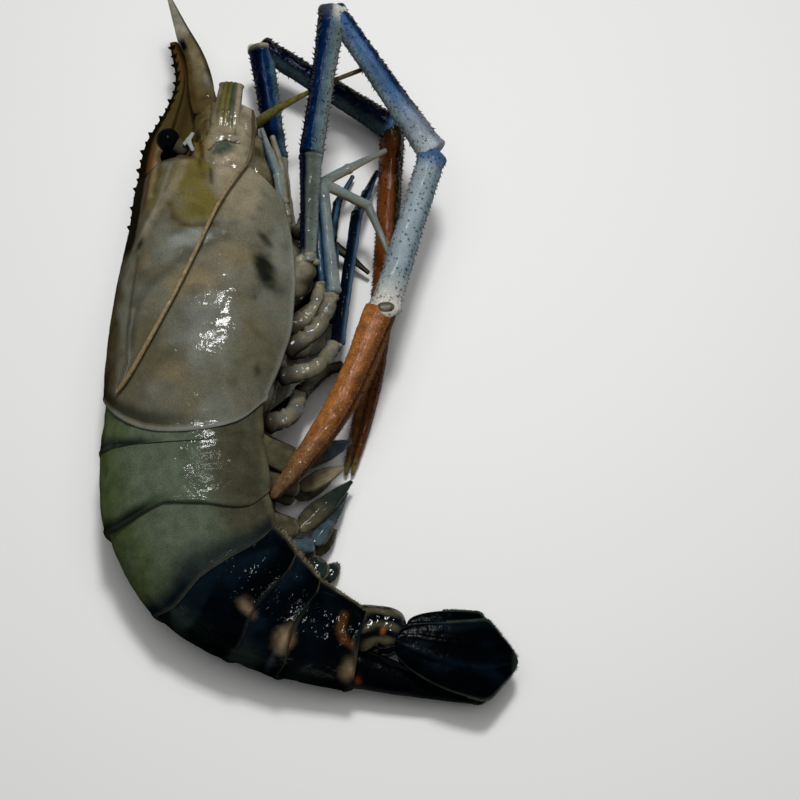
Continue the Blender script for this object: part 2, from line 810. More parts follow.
@dataclass
class ThoraxShell:
    """The shell of head and thorax, with the toothed rostrum."""
    around: int = 200
    steps: int = 130
    tooth_count: int = 11
    tooth_height: float = 1.15
    blade_half: float = 1.7
    side_line: tuple[tuple[float, float], ...] = (
        (-74.0, 30.0), (-75.2, 16.6), (-75.6, 6.7), (-75.3, -1.5), (-77.6, -7.0))
    gill_line: tuple[tuple[float, float], ...] = (
        (-74.3, 3.1), (-74.4, 9.6), (-72.9, 16.0), (-69.9, 20.6), (-65.5, 24.1), (-60.9, 28.9), (-56.3, 31.5),
        (-49.8, 35.2))
    marks: tuple[Patch | Stroke, ...] = (
        Patch(Tone.SHELL_LOW, (-46.0, -4.0), (17, 15), share=0.8),
        Patch(Tone.SHELL_SIDE, (-69.5, 4.0), (8, 18), share=0.9),
        Patch(Tone.BLUE_GREY, (-52.0, 10.0), (9, 26), share=0.5),
        Patch(Tone.RIM, (-56.0, 9.0), (6, 19), share=0.35, crisp=-0.5),
        Patch(Tone.SHELL_WARM, (-62.0, -6.0), (7, 5), share=0.6),
        Patch(Tone.SHELL_WARM, (-58.0, 22.0), (13, 8), lean=20, share=0.8),
        Patch(Tone.HONEY, (-45.5, 30.0), (12, 8.5), lean=10, share=0.8, crisp=-0.4),
        Patch(Tone.BEIGE, (-46.5, 52.0), (11, 17), crisp=0.3),
        Patch(Tone.PINK_BEIGE, (-50.5, 58.0), (5, 6), share=0.7),
        Patch(Tone.SHELL_SIDE, (-69.0, 52.0), (7, 16), lean=-12, share=0.9, crisp=0.3),
        Patch(Tone.OLIVE, (-70.6, 50.0), (4.6, 15), lean=-6, share=0.45),
        Patch(Tone.OLIVE, (-60.2, 57.5), (8.0, 12.5), lean=-10, crisp=0.4),
        Patch(Tone.OLIVE, (-57.0, 46.2), (8.6, 7.8), crisp=0.55),
        Stroke(Tone.BEIGE, ((-62.4, 62.0), (-63.1, 57.4), (-65.7, 50.2), (-69.7, 43.7), (-72.6, 37.5)), 2.4,
               0.7, 0.4),
        Stroke(Tone.OLIVE, ((-60.4, 60.0), (-61.5, 52.0), (-65.0, 45.5)), 1.2, 0.5, -0.3),
        Stroke(Tone.RIM, ((-66.6, 60.0), (-67.2, 55.9), (-68.6, 48.6), (-71.1, 41.4), (-75.6, 34.4)), 1.0,
               0.3, 0.4),
        Stroke(Tone.HONEY, ((-71.6, 65.0), (-71.6, 57.0), (-71.8, 50.0)), 1.7, 0.95),
        Stroke(Tone.BLADE, ((-69.6, 64.0), (-69.4, 57.0), (-70.4, 51.0)), 1.3, 0.6),
        Stroke(Tone.BLADE, ((-75.0, 62.5), (-70.0, 64.0), (-64.0, 64.6), (-60.0, 64.6)), 3.4, 0.95),
        Stroke(Tone.BLADE, ((-65.6, 46.0), (-64.4, 41.6), (-61.8, 39.4), (-58.5, 38.6), (-52.5, 39.0)), 2.0,
               0.85, -0.35),
        Patch(Tone.BLUE_GREY, (-59.5, 34.4), (8.6, 3.6), lean=18, share=0.95, crisp=0.3),
        Patch(Tone.BLUE_GREY, (-69.0, 29.0), (6.0, 2.6), lean=45, share=0.45, crisp=0.1),
        Patch(Tone.SHELL_WARM, (-71.5, 28.0), (2.4, 6.0), lean=-30, share=0.6),
        Patch(Tone.SLATE, (-37.6, 26.4), (4.6, 10.4), lean=24, share=0.95, crisp=0.25),
        Patch(Tone.SLATE, (-38.4, 36.0), (1.6, 4.4), lean=38, share=0.75, crisp=0.2),
        Patch(Tone.SLATE, (-40.4, 17.0), (1.3, 1.3), share=0.7),
        Patch(Tone.SLATE, (-39.4, -3.5), (1.5, 2.6), share=0.6),
        Patch(Tone.SPOT, (-73.8, 34.6), (1.8, 2.6), share=0.9),
        Stroke(Tone.SPOT, ((-57.9, 66.0), (-57.4, 60.0), (-57.0, 56.3)), 0.9, 0.95),
        Stroke(Tone.SPOT, ((-54.8, 58.6), (-54.2, 56.6), (-53.9, 53.4)), 0.8, 0.8, -0.5),
        Stroke(Tone.RIM, ((-74.2, 14.0), (-75.0, 6.7), (-74.7, -1.5), (-76.8, -7.0)), 0.7, 0.6),
    )

    def relief(self, point: Vector, along: float, turn: float) -> float:
        """Give how far the surface stands out at a point.

        Args:
            point: the point, in millimetres.
            along: share of the way from front to rear.
            turn: angle round the body, 0 at the back.

        Returns:
            Millimetres outwards.
        """
        rim = hump(along, 0.99, 0.009) * 0.2
        line = -0.35 * hump(path_distance(point, self.side_line), 0, 1.1)
        gill = path_distance(point, self.gill_line)
        cheek = 0.45 * smooth(point.y, 20, 40) * hump(gill, 4.5, 4.5) - 0.25 * hump(gill, 0, 2.2)
        edge = 0.35 * hump(abs(turn), radians(148), radians(3))
        raised = sum(mark.height * mark.weight(point) for mark in self.marks if mark.height)
        swell = 0.22 * noise(point * 0.11) + 0.1 * noise(point * 0.4)
        lip = -1.5 * fall(along, 0.0, 0.05) ** 2
        return rim + line + cheek + edge + raised + swell + lip

    @staticmethod
    def inside(point: Vector) -> float:
        """Give how far a point lies in from the outline of the back."""
        return point.x - MIDLINE_START[0] + read(STATIONS, MIDLINE_START[1] - point.y, 2) + SHELL_RISE

    def colour(self, along: float, turn: float, point: Vector) -> Colour:
        """Give the shell's colour and wetness at a point.

        Args:
            point: the point, in millimetres.
            along: share of the way from front to rear.
            turn: angle round the body, 0 at the back.

        Returns:
            Red, green, blue and wetness.
        """
        tone = mix(Tone.SHELL, Tone.SHELL_SIDE, 0.6 * smooth(noise(point * 0.07), 0.0, 0.4))
        tone = mix(tone, Tone.BLUE_GREY, 0.35 * smooth(noise(point * 0.1 + Vector((9, 0, 0))), 0.0, 0.6))
        for mark in self.marks:
            tone = mix(tone, mark.tone, mark.weight(point))
        tone = mix(tone, Tone.SHELL_WARM, 0.2 * smooth(noise(point * 0.3), 0.0, 0.5))
        tone = mix(tone, Tone.SLATE, 0.2 * smooth(-noise(point * 0.26), 0.1, 0.5))
        angle = degrees(abs(turn))
        gill = path_distance(point, self.gill_line)
        tone = mix(tone, Tone.SLATE, 0.35 * hump(gill, 0.0, 2.6))
        wander = noise(point * 0.2)
        band = fall(angle + 8 * wander, 32, 46) * smooth(along + 0.08 * wander, 0.28, 0.58)
        tone = mix(tone, mix(Tone.BAND, Tone.SPOT, smooth(noise(point * 0.12), 0, 0.5)),
                   0.9 * band)
        inside = self.inside(point) + 0.35 * ripple(0, point.y * 0.3, 4)
        crest = smooth(point.y, 29, 37) * fall(inside, 4.2, 5.6)
        tone = mix(tone, Tone.BLADE_RED, 0.85 * smooth(point.y, 42, 50) * hump(inside, 6.3, 1.7))
        tone = mix(tone, Tone.BLADE_DARK, 0.97 * crest)
        tone = mix(tone, Tone.SPOT, 0.6 * hump(path_distance(point, self.side_line), 0, 0.8))
        pale_edge = hump(angle, 148, 3) * smooth(along, 0.1, 0.25)
        tone = mix(tone, Tone.RIM, 0.4 * pale_edge)
        before_rim = smooth(along, 0.925, 0.96) * fall(along, 0.976, 0.984)
        tone = mix(tone, Tone.RING_DARK, 0.75 * before_rim * fall(angle, 70, 120))
        rear = 0.75 * fall(point.y, -13, -6) * fall(along, 0.95, 0.98)
        dull = 0.93 * smooth(point.y, 20, 30) + rear
        film = 0.3 + 0.7 * smooth(noise(point * 0.3), -0.25, 0.1)
        wetness = film * smooth(inside, 3, 11) * (1 - min(dull, 1.0)) * fall(angle, 100, 135)
        return *mix(tone, Tone.RIM, 0.55 * smooth(along, 0.988, 0.996)), wetness

    def build(self) -> None:
        """Make the shell and its rostrum."""
        sculpt = Sculpt()

        def place(along: float, turn: float) -> Vector:
            """Give the shell's point, drawn in to a keel at the front of the back."""
            station = shell_front(turn) + (shell_rear(turn) - shell_front(turn)) * along
            rise = SHELL_RISE * along
            plain = body_point(station, turn, rise, 1.0, 0.26)
            spot = body_point(station, turn, rise + self.relief(plain, along, turn), 1.0, 0.26)
            keel = smooth(spot.y, 28, 42) * fall(self.inside(spot), 2.5, 9.0)
            return Vector((spot.x, spot.y, MID_HEIGHT + (spot.z - MID_HEIGHT) * (1 - 0.5 * keel)))

        sculpt.sleeve(self.around, self.steps, place, self.colour)
        self.blade(sculpt)
        publish("carapace_shell", sculpt, WET_SHELL, "carapace")

    def blade(self, sculpt: Sculpt) -> None:
        """Add the rostrum, an upright blade with forward teeth along its back edge.

        Args:
            sculpt: the mesh.
        """
        back = Route([(-80.6, 30, 0), (-79.4, 46, 0), (-78.2, 60, 0), (-76.4, 74, 0), (-70.6, 86.6, 0),
                      (-68.4, 95, 0), (-70.7, 109, 0)])
        belly = Route([(-72, 34, 0), (-66, 52, 0), (-61.8, 68, 0), (-61.2, 84, 0), (-62.0, 95, 0),
                       (-63.8, 103.4, 0), (-68.4, 109.4, 0)])

        def half(share: float) -> float:
            """Give half the blade's thickness."""
            return self.blade_half * (1 - 0.62 * smooth(back.at(share).y, 60, 109)) * 1.15

        def place(along: float, turn: float) -> Vector:
            """Give the blade's point, with its middle keel."""
            low, high = belly.at(along), back.at(along)
            middle, reach = (low + high) / 2, (high - low) / 2
            lens = copysign(abs(sin(turn)) ** 0.8, turn) * half(along)
            keel = 0.6 * hump(cos(turn), -0.05, 0.2) * copysign(1, turn) * fall(along, 0.8, 1)
            spot = middle + reach * cos(turn)
            return Vector((spot.x, spot.y, MID_HEIGHT + lens + keel))

        def colour(along: float, turn: float, point: Vector) -> Colour:
            """Give the blade's colour: bands from edge to edge."""
            across = cos(turn)
            streak = 0.1 * ripple(point.x * 0.8, point.y * 0.12, 2)
            tone = mix(Tone.BAND, Tone.BLADE, smooth(across + streak, -0.75, -0.15))
            tone = mix(tone, Tone.SPOT, 0.6 * hump(across + streak, -0.35, 0.35))
            tone = mix(tone, Tone.BLADE_DARK, 0.9 * hump(across + streak, 0.05, 0.2))
            tone = mix(tone, Tone.BAND, 0.75 * hump(across + streak, 0.36, 0.22))
            low = fall(point.y, 68, 80)
            tone = mix(tone, Tone.BLADE_HONEY, low * hump(across, 0.28, 0.34))
            tone = mix(tone, Tone.BLADE_RED, 0.85 * low * hump(across, 0.6, 0.16))
            tone = mix(tone, Tone.BLADE_RED, 0.6 * smooth(point.y, 92, 102) * hump(across, 0.1, 0.6))
            rim = smooth(across, 0.62, 0.76)
            return *mix(tone, Tone.BLADE_DARK, rim), 0.3 * (1 - rim)

        sculpt.sleeve(64, 120, place, colour)
        for index in range(self.tooth_count * 2):
            share = 0.14 + 0.85 * (index + 1) / (self.tooth_count * 2)
            foot, run = back.at(share - 0.014), back.run(share - 0.014)
            out = Vector((-run.y, run.x, 0))
            lift = Vector((0, 0, MID_HEIGHT))
            height = self.tooth_height * (1.0 if index % 2 else 0.5) * (1.15 - 0.4 * share)
            tip = foot + run * 0.7 + out * height
            sculpt.cone(foot - out * 1.4 + lift, tip + lift, 2.5 - 1.2 * share, (*Tone.BLADE_DARK, 0.0), 9)


# ---- tail rings
@dataclass(frozen=True)
class Lobe:
    """How a ring's edge runs out of line: forwards, on the flank and backwards at the side lobe."""
    ahead: float
    flank: float
    behind: float


@dataclass
class TailRings:
    """The six rings of the tail with their side lobes."""
    around: int = 150
    steps: int = 44
    ends: tuple[float, ...] = (12, 29.5, 47.5, 63, 74.5, 92)
    lobes: tuple[Lobe, ...] = (
        Lobe(0, 1.6, 0), Lobe(7.5, -0.5, 8.5), Lobe(0, 1.5, 3), Lobe(0, 1.0, 3), Lobe(0, 0, 3), Lobe(0, 0, 1))
    marks: tuple[Patch | Stroke, ...] = (
        Patch(Tone.CREAM_SPOT, (-40.6, -68.6), (4.2, 2.4), lean=-50, share=0.6, crisp=-0.2),
        Patch(Tone.ORANGE_SPOT, (-39.6, -69.8), (1.5, 1.1), lean=-60, share=0.6, crisp=-0.3),
        Patch(Tone.CREAM_SPOT, (-31.2, -76.0), (4.0, 5.4), lean=-28, share=0.8, crisp=-0.2),
        Patch(Tone.ORANGE_SPOT, (-29.6, -77.2), (1.5, 1.3), lean=30, share=0.7, crisp=-0.3),
        Patch(Tone.SWIM_BLUE, (-34.6, -81.0), (1.4, 4.4), lean=-35, share=0.6, crisp=-0.5),
        Patch(Tone.CREAM_SPOT, (-13.4, -83.2), (3.4, 4.4), lean=-22, share=0.75, crisp=-0.2),
        Patch(Tone.ORANGE_SPOT, (-12.6, -84.8), (1.3, 1.5), share=0.7, crisp=-0.3),
        Stroke(Tone.CLAW, ((-15.2, -68.6), (-16.2, -72.4), (-14.8, -75.9), (-10.8, -78.6)), 1.8, 0.22),
    )
    lobe_turn: float = radians(124)
    lobe_span: float = radians(48)
    groove: float = 0.34
    fringe_hairs: int = 150

    def lobe(self, turn: float) -> float:
        """Give how much a turn belongs to the side lobe."""
        return hump(abs(turn), self.lobe_turn, self.lobe_span)

    def rear(self, index: int, turn: float) -> float:
        """Give the station of a ring's rear edge; ring -1 is the thorax shell.

        Args:
            index: the ring's place, from 0.
            turn: angle round the body, 0 at the back.

        Returns:
            The station.
        """
        if index < 0:
            return shell_rear(turn)
        bow = 1.6 * hump(abs(turn), radians(45), radians(45)) if index else 0.0
        shape = self.lobes[index]
        return self.ends[index] + bow + shape.behind * self.lobe(turn) + shape.flank * sin(turn) ** 2

    def front(self, index: int, turn: float) -> float:
        """Give the station of a ring's front edge, under the ring before it."""
        tucked = 0 if index == 1 else UNDERLAP
        return self.rear(index - 1, turn) - tucked - self.lobes[index].ahead * self.lobe(turn)

    def colour(self, index: int, along: float, turn: float, point: Vector) -> Colour:
        """Give a ring's colour at a point.

        Args:
            index: the ring's place, from 0.
            along: share of the way from front to rear.
            turn: angle round the body, 0 at the back.
            point: the point, in millimetres.

        Returns:
            Red, green, blue and wetness.
        """
        angle = degrees(abs(turn))
        streak = noise(Vector((point.x, point.y, 0)) * 0.13)
        if index < 3:
            tone = mix(Tone.RING_GREEN, Tone.RING_MID, smooth(angle, 35, 75))
            tone = mix(tone, Tone.RING_FLANK, smooth(angle, 88, 116))
            tone = mix(tone, Tone.RING_MID, 0.5 * smooth(streak, 0.05, 0.5))
            dark_from = (0.62, 0.8, 0.72)[index]
            shade = smooth(along, dark_from, 0.95) * fall(angle, 60, 92)
            deep = (Tone.RING_DARK, Tone.RING_DARK, Tone.NAVY)[index]
            tone = mix(tone, deep, shade)
            if index == 2:
                tone = mix(tone, Tone.NAVY, 0.8 * smooth(along, 0.55, 0.85) * smooth(angle, 40, 80))
        else:
            tone = mix(Tone.MOSS_GREY, Tone.NAVY, smooth(angle, 30, 62))
            tone = mix(tone, Tone.BLACK_BLUE, smooth(along, 0.35, 0.8))
            tone = mix(tone, Tone.BLACK_BLUE, 0.7 * smooth(streak, -0.1, 0.3))
            if index == 5:
                tone = mix(tone, Tone.BLACK_BLUE, 0.7)
            for mark in self.marks:
                tone = mix(tone, mark.tone, mark.weight(point))
        edge = smooth(along, 0.955, 0.985)
        lobe = smooth(angle, 118, 128)
        rim = mix(Tone.MOSS_GREY, Tone.FLESH, max(lobe, 0.3 if index < 3 else 0.0))
        tone = mix(tone, rim, 0.5 * max(edge, smooth(angle, 138, 146)) * fall(angle, 152, 160))
        film = 0.15 + 0.85 * smooth(noise(point * 0.16 + Vector((3, 0, 0))), -0.05, 0.2)
        return *tone, film * smooth(angle, 22, 52) * fall(angle, 105, 140)

    def build(self) -> None:
        """Make the six rings."""
        for index in range(len(self.ends)):
            sculpt = Sculpt()

            def place(along: float, turn: float, index: int = index) -> Vector:
                """Give the ring's point."""
                start, end = self.front(index, turn), self.rear(index, turn)
                station = start + (end - start) * along
                rise = RING_RISE * (0.25 + 0.75 * along ** 2) + (0.5 if index == 1 else 0.0)
                lip = 0.35 * hump(along, 0.965, 0.03)
                swell = 0.22 * ripple(station * 0.35, turn * 5, index)
                side = smooth(abs(turn), radians(95), radians(135))
                tuck = 1 - 0.06 * abs(2 * along - 1) ** 3 * side
                return body_point(station, turn, rise + lip + swell, tuck, self.groove)

            def colour(along: float, turn: float, point: Vector, index: int = index) -> Colour:
                """Give the ring's colour."""
                return self.colour(index, along, turn, point)

            sculpt.sleeve(self.around, self.steps, place, colour)
            if index > 2:
                self.fringe(sculpt, place, index)
            finish = WET_RING if index < 3 else WET_NAVY_RING
            publish(f"ring_{index + 1}", sculpt, finish, f"somite_{index + 1}")

    def fringe(self, sculpt: Sculpt, place: Place, seed: int) -> None:
        """Add the short hairs along a side lobe's edge.

        Args:
            sculpt: the mesh.
            place: gives the ring's points.
            seed: the random draw's seed.
        """
        draw = random.Random(seed)
        for _ in range(self.fringe_hairs):
            along, turn = draw.uniform(0.25, 0.99), EDGE_TURN - draw.uniform(0.0, 0.12)
            foot = place(along, turn)
            out = (foot - place(along, turn - 0.35)).normalized()
            sculpt.cone(foot, foot + out * draw.uniform(0.5, 1.3) + Vector((draw.gauss(0, 0.25), -0.3, 0.1)),
                        0.1, Tone.SWIM_TAN, HAIR_SIDES)


# ---- limbs
def edge_hair(sculpt: Sculpt, route: Route, wide: Profile, share: float, hand: int,
              way: tuple[float, float], length: float, half: float, tone: Tone) -> None:
    """Add a hair to the edge of a flat piece.

    Args:
        sculpt: the mesh.
        route: the piece's middle line.
        wide: its half width by share of the length.
        share: where the hair stands along the line.
        hand: -1 for the left edge and 1 for the right one.
        way: how far the hair leans outwards and onwards.
        length: the hair's length.
        half: half its thickness at the foot.
        tone: its colour.
    """
    middle, side, _ = route.frame(share)
    foot = middle + side * hand * (wide(share) - HAIR_ROOT)
    lean = side * hand * way[0] + route.run(share) * way[1]
    sculpt.cone(foot, foot + lean.normalized() * length, half, tone, HAIR_SIDES)


@dataclass(frozen=True)
class LimbLook:
    """Colours and roughness of a limb piece, seen in the direction from its first joint to its last."""
    left: Tone
    top: Tone
    right: Tone
    start: Tone | None = None
    end: Tone | None = None
    end_from: float = 0.86
    end_kept: float = 0.0
    divide: float = 0.0
    crisp: float = 0.3
    verge: Tone | None = None
    thorns: int = 0
    thorn_gap: float = 1.5
    thorn_height: float = 0.6
    waves: float = 0.09

    def colour(self, share: float, turn: float, point: Vector) -> Colour:
        """Give the colour at a share of the length and a turn, where 0 is the right side.

        Args:
            share: place along it, from 0 to 1.
            turn: angle round it, 0 on the right side and a quarter turn on top.
            point: the point, in millimetres.

        Returns:
            Red, green, blue and wetness.
        """
        across = -cos(turn) + 0.12 * noise(point * 0.5)
        tone = mix(self.top, self.left, smooth(across, self.divide, self.divide + self.crisp))
        tone = mix(tone, self.right, smooth(-across, 0.3, 0.9))
        if self.verge:
            tone = mix(tone, self.verge, smooth(across, self.divide + 0.7 * self.crisp, 0.95))
        if self.start:
            tone = mix(tone, self.start, fall(share, 0.03, 0.16))
        if self.end:
            kept = self.end_kept * smooth(across, self.divide, self.divide + self.crisp)
            tone = mix(tone, self.end, smooth(share, self.end_from, 0.97) * (1 - kept))
        gap = 0.25 * hump(share, 0.0, 0.03) + 0.25 * hump(share, 1.0, 0.03)
        return *mix(tone, Tone.FLESH_DARK, gap), upward(turn)


def limb_half(length: float, first: float, last: float, waist: float = 0.08, cap: float = 0.75) -> Profile:
    """Give the half width of a limb piece: straight between two ends with rounded shoulders.

    Args:
        length: the piece's length in millimetres.
        first: half width at the first end.
        last: half width at the last end.
        waist: how much thinner the middle is.
        cap: length of the rounded ends as a share of the thinner end's half width.

    Returns:
        The half width by share of the length.
    """
    reach = cap * min(first, last)

    def half(share: float) -> float:
        """Give the half width at a share."""
        near = min(share, 1 - share) * length
        flare = 1 + 0.09 * hump(near, 1.3 * reach, 1.3 * reach)
        plain = (first + (last - first) * share) * dome(1 - min(near / reach, 1))
        return plain * flare * (1 - waist * sin(pi * share))

    return half


def limb(sculpt: Sculpt, path: Sequence[Point], halves: tuple[float, float], look: LimbLook,
         seed: int = 1, around: int = 28, steps: int = 40, cap: float = 0.75) -> None:
    """Add one length of a limb between two joints.

    Args:
        sculpt: the mesh.
        path: the first joint, the last joint and points between them.
        halves: half widths at the two ends.
        look: colours and thorns.
        seed: the draw for thorns and waves.
        around: faces round it.
        steps: faces along it.
        cap: length of the rounded ends as a share of the half width.
    """
    points = [Vector(point) for point in path]
    run = (points[-1] - points[0]).normalized()
    points[0] -= run * JOINT_LAP
    points[-1] += run * JOINT_LAP
    route = Route(points)
    length = route.lengths[-1]
    half = limb_half(length, *halves, cap=cap)

    def relief(share: float, turn: float) -> float:
        """Give the waves and the ridges of the skin."""
        wave = ripple(cos(turn) * 1.3, sin(turn) * 1.3, share * length * 0.3 + seed)
        fine = ripple(cos(turn) * 4, sin(turn) * 4, share * length * 0.9 + seed)
        ridge = 0.05 * halves[0] * hump(abs(turn), pi / 2, 0.4)
        return halves[0] * (look.waves * wave + 0.35 * look.waves * fine) + ridge

    sculpt.tube(route, half, half, look.colour, around, steps, relief)
    if look.thorns:
        plant_thorns(sculpt, route, half, look, random.Random(seed))


def plant_thorns(sculpt: Sculpt, route: Route, half: Profile, look: LimbLook, draw: random.Random) -> None:
    """Add a row of small teeth along each edge of a limb piece and low ones on top of it.

    Args:
        sculpt: the mesh.
        route: the limb's middle line.
        half: half width by share of the length.
        look: colours and thorns.
        draw: the random draws.
    """
    count = int(route.lengths[-1] / look.thorn_gap)
    for edge in (0.0, pi, pi * 0.2, pi * 0.8):
        tall = 1.0 if edge in (0.0, pi) else 0.7
        for index in range(count):
            share = 0.04 + 0.92 * (index + draw.uniform(0.2, 0.8)) / count
            thorn(sculpt, route, half, share, edge + draw.gauss(0, 0.09),
                  look.thorn_height * tall * draw.uniform(0.7, 1.2),
                  dim(look.colour(share, edge, route.at(share)), 0.5))
    for _ in range(look.thorns):
        share, turn = draw.uniform(0.05, 0.95), draw.uniform(0.25, pi - 0.25)
        thorn(sculpt, route, half, share, turn, look.thorn_height * draw.uniform(0.3, 0.6),
              dim(look.colour(share, turn, route.at(share)), 0.3))


def thorn(sculpt: Sculpt, route: Route, half: Profile, share: float, turn: float, height: float,
          colour: Colour) -> None:
    """Add a small thorn that leans towards the limb's end.

    Args:
        sculpt: the mesh.
        route: the limb's middle line.
        half: half width by share of the length.
        share: place along it, from 0 to 1.
        turn: angle round it, 0 on the right side and a quarter turn on top.
        height: how far it stands out.
        colour: its colour.
    """
    middle, out = route.outward(share, turn)
    foot = middle + out * (half(share) - 0.12)
    sculpt.cone(foot, foot + out * height + route.run(share) * height * 0.8, 0.3, colour, 5)


@dataclass
class ClawArm:
    """One of the two long arms, in six pieces, with its two-fingered claw."""
    side: str
    joints: tuple[Point, ...]
    halves: tuple[tuple[float, float], ...]
    fixed_finger: tuple[Point, ...]
    moving_finger: tuple[Point, ...]
    finger_wide: float
    finger_deep: float
    looks: tuple[LimbLook, ...]
    finger_looks: tuple[LimbLook, LimbLook]
    seed: int
    names: tuple[str, ...] = ("base", "ischium", "merus", "carpus", "palm")
    edge_hairs: int = 150
    down_hairs: int = 420

    def build(self) -> None:
        """Make the arm's six pieces."""
        finishes = (WET_FLESH, LEG_SHELL, HORNY_NAVY, HORNY_NAVY, HORNY_PALE)
        for index, name in enumerate(self.names):
            sculpt = Sculpt()
            if index == 0:
                self.base(sculpt)
            else:
                limb(sculpt, self.joints[index:index + 2], self.halves[index],
                     self.looks[index], self.seed + index, 40, 90, 0.4)
            if name in ("merus", "carpus"):
                self.condyles(sculpt, index)
            if name == "palm":
                self.finger(sculpt, self.fixed_finger, self.finger_looks[0], -1)
                if self.side == "right":
                    self.hinge(sculpt)
            publish(f"{self.side}_{name}", sculpt, finishes[index], f"arm_{self.side}_{name}")
        sculpt = Sculpt()
        self.finger(sculpt, self.moving_finger, self.finger_looks[1], 1)
        publish(f"{self.side}_moving_finger", sculpt, DOWNY_CLAW, f"arm_{self.side}_finger")

    def base(self, sculpt: Sculpt) -> None:
        """Add the short, knobbly root of the arm.

        Args:
            sculpt: the mesh.
        """
        start, end = Vector(self.joints[0]), Vector(self.joints[1])
        limb(sculpt, (start, end), self.halves[0], self.looks[0], self.seed, 28, 30)
        draw = random.Random(self.seed)
        size = self.halves[0][1]
        for _ in range(9):
            way = Vector((draw.gauss(0, 1), draw.gauss(0, 1), abs(draw.gauss(0, 1)))).normalized()
            radius = size * draw.uniform(0.25, 0.45)
            sculpt.ball(end + way * size * 0.62, (radius, radius, radius * 0.8), Tone.PALE_LIMB, 14)

    def condyles(self, sculpt: Sculpt, index: int) -> None:
        """Add the pale bosses on which a piece hinges at its last joint.

        Args:
            sculpt: the mesh.
            index: the piece's place along the arm.
        """
        end = Vector(self.joints[index + 1])
        run = (end - Vector(self.joints[index])).normalized()
        side = Vector((-run.y, run.x, 0)).normalized()
        half = self.halves[index][1]
        for hand in (-1, 1):
            boss = end - run * 0.9 + side * hand * half * 0.66 + Vector((0, 0, half * 0.35))
            sculpt.ball(boss, (1.5, 1.5, 1.2), Tone.BONE if index == 2 else Tone.ARM_PALE, 16)

    def hinge(self, sculpt: Sculpt) -> None:
        """Add the dark oval of skin over the moving finger's hinge, inside its pale rim.

        Args:
            sculpt: the mesh.
        """
        end = Vector(self.joints[5])
        sculpt.ball(end + Vector((0.5, -0.3, 3.2)), (3.7, 3.0, 1.6), Tone.BONE, 28)
        sculpt.ball(end + Vector((-2.9, -0.6, 1.8)), (1.5, 3.0, 1.9), Tone.BONE, 20)
        sculpt.ball(end + Vector((0.55, -0.4, 4.0)), (2.7, 1.9, 1.0), Tone.SWIM, 28)

    def finger(self, sculpt: Sculpt, path: Sequence[Point], look: LimbLook, hand: int) -> None:
        """Add a finger with downy hair along its side.

        Args:
            sculpt: the mesh.
            path: from the hinge to the tip.
            look: its colours.
            hand: -1 for the fixed finger and 1 for the moving one.
        """
        route = Route(path)
        draw = random.Random(self.seed + 7 + hand)

        def wide(share: float) -> float:
            """Give the half width at a share."""
            taper = self.finger_wide * (1 - 0.7 * share ** 4) * (1.2 - 0.16 * smooth(share, 0, 0.3))
            return taper * dome((share - 0.98) / 0.02) * dome((0.012 - share) / 0.012)

        def deep(share: float) -> float:
            """Give the half depth at a share."""
            return wide(share) / self.finger_wide * self.finger_deep

        def relief(share: float, turn: float) -> float:
            """Give the waves and the ridges of the skin."""
            way = Vector((cos(turn) * 1.6, sin(turn) * 1.6, share * 22 + hand))
            ridge = 0.22 * hump(abs(turn), pi / 2, 0.35)
            return 0.14 * noise(way) + ridge

        sculpt.tube(route, wide, deep, look.colour, 26, 90, relief)
        for index in range(self.edge_hairs):
            share = 0.12 + 0.84 * index / self.edge_hairs
            turn = (0.0 if self.side == "left" else pi) + draw.gauss(0, 0.12)
            middle, out = route.outward(share, turn)
            foot = middle + out * (wide(share) - HAIR_ROOT)
            tip = foot + out * draw.uniform(0.35, 0.75) + route.run(share) * draw.uniform(0.1, 0.5)
            sculpt.cone(foot, tip, 0.12, dim(look.left, 0.8), HAIR_SIDES)
        for _ in range(self.down_hairs):
            share, turn = draw.uniform(0.05, 0.93), draw.uniform(0.1, pi - 0.1)
            middle, out = route.outward(share, turn, wide(share), deep(share))
            foot = middle + out * 0.98
            tip = foot + out.normalized() * 0.3 + route.run(share) * 0.45
            sculpt.cone(foot, tip, 0.1, mix(look.top, Tone.BONE, 0.15), HAIR_SIDES)


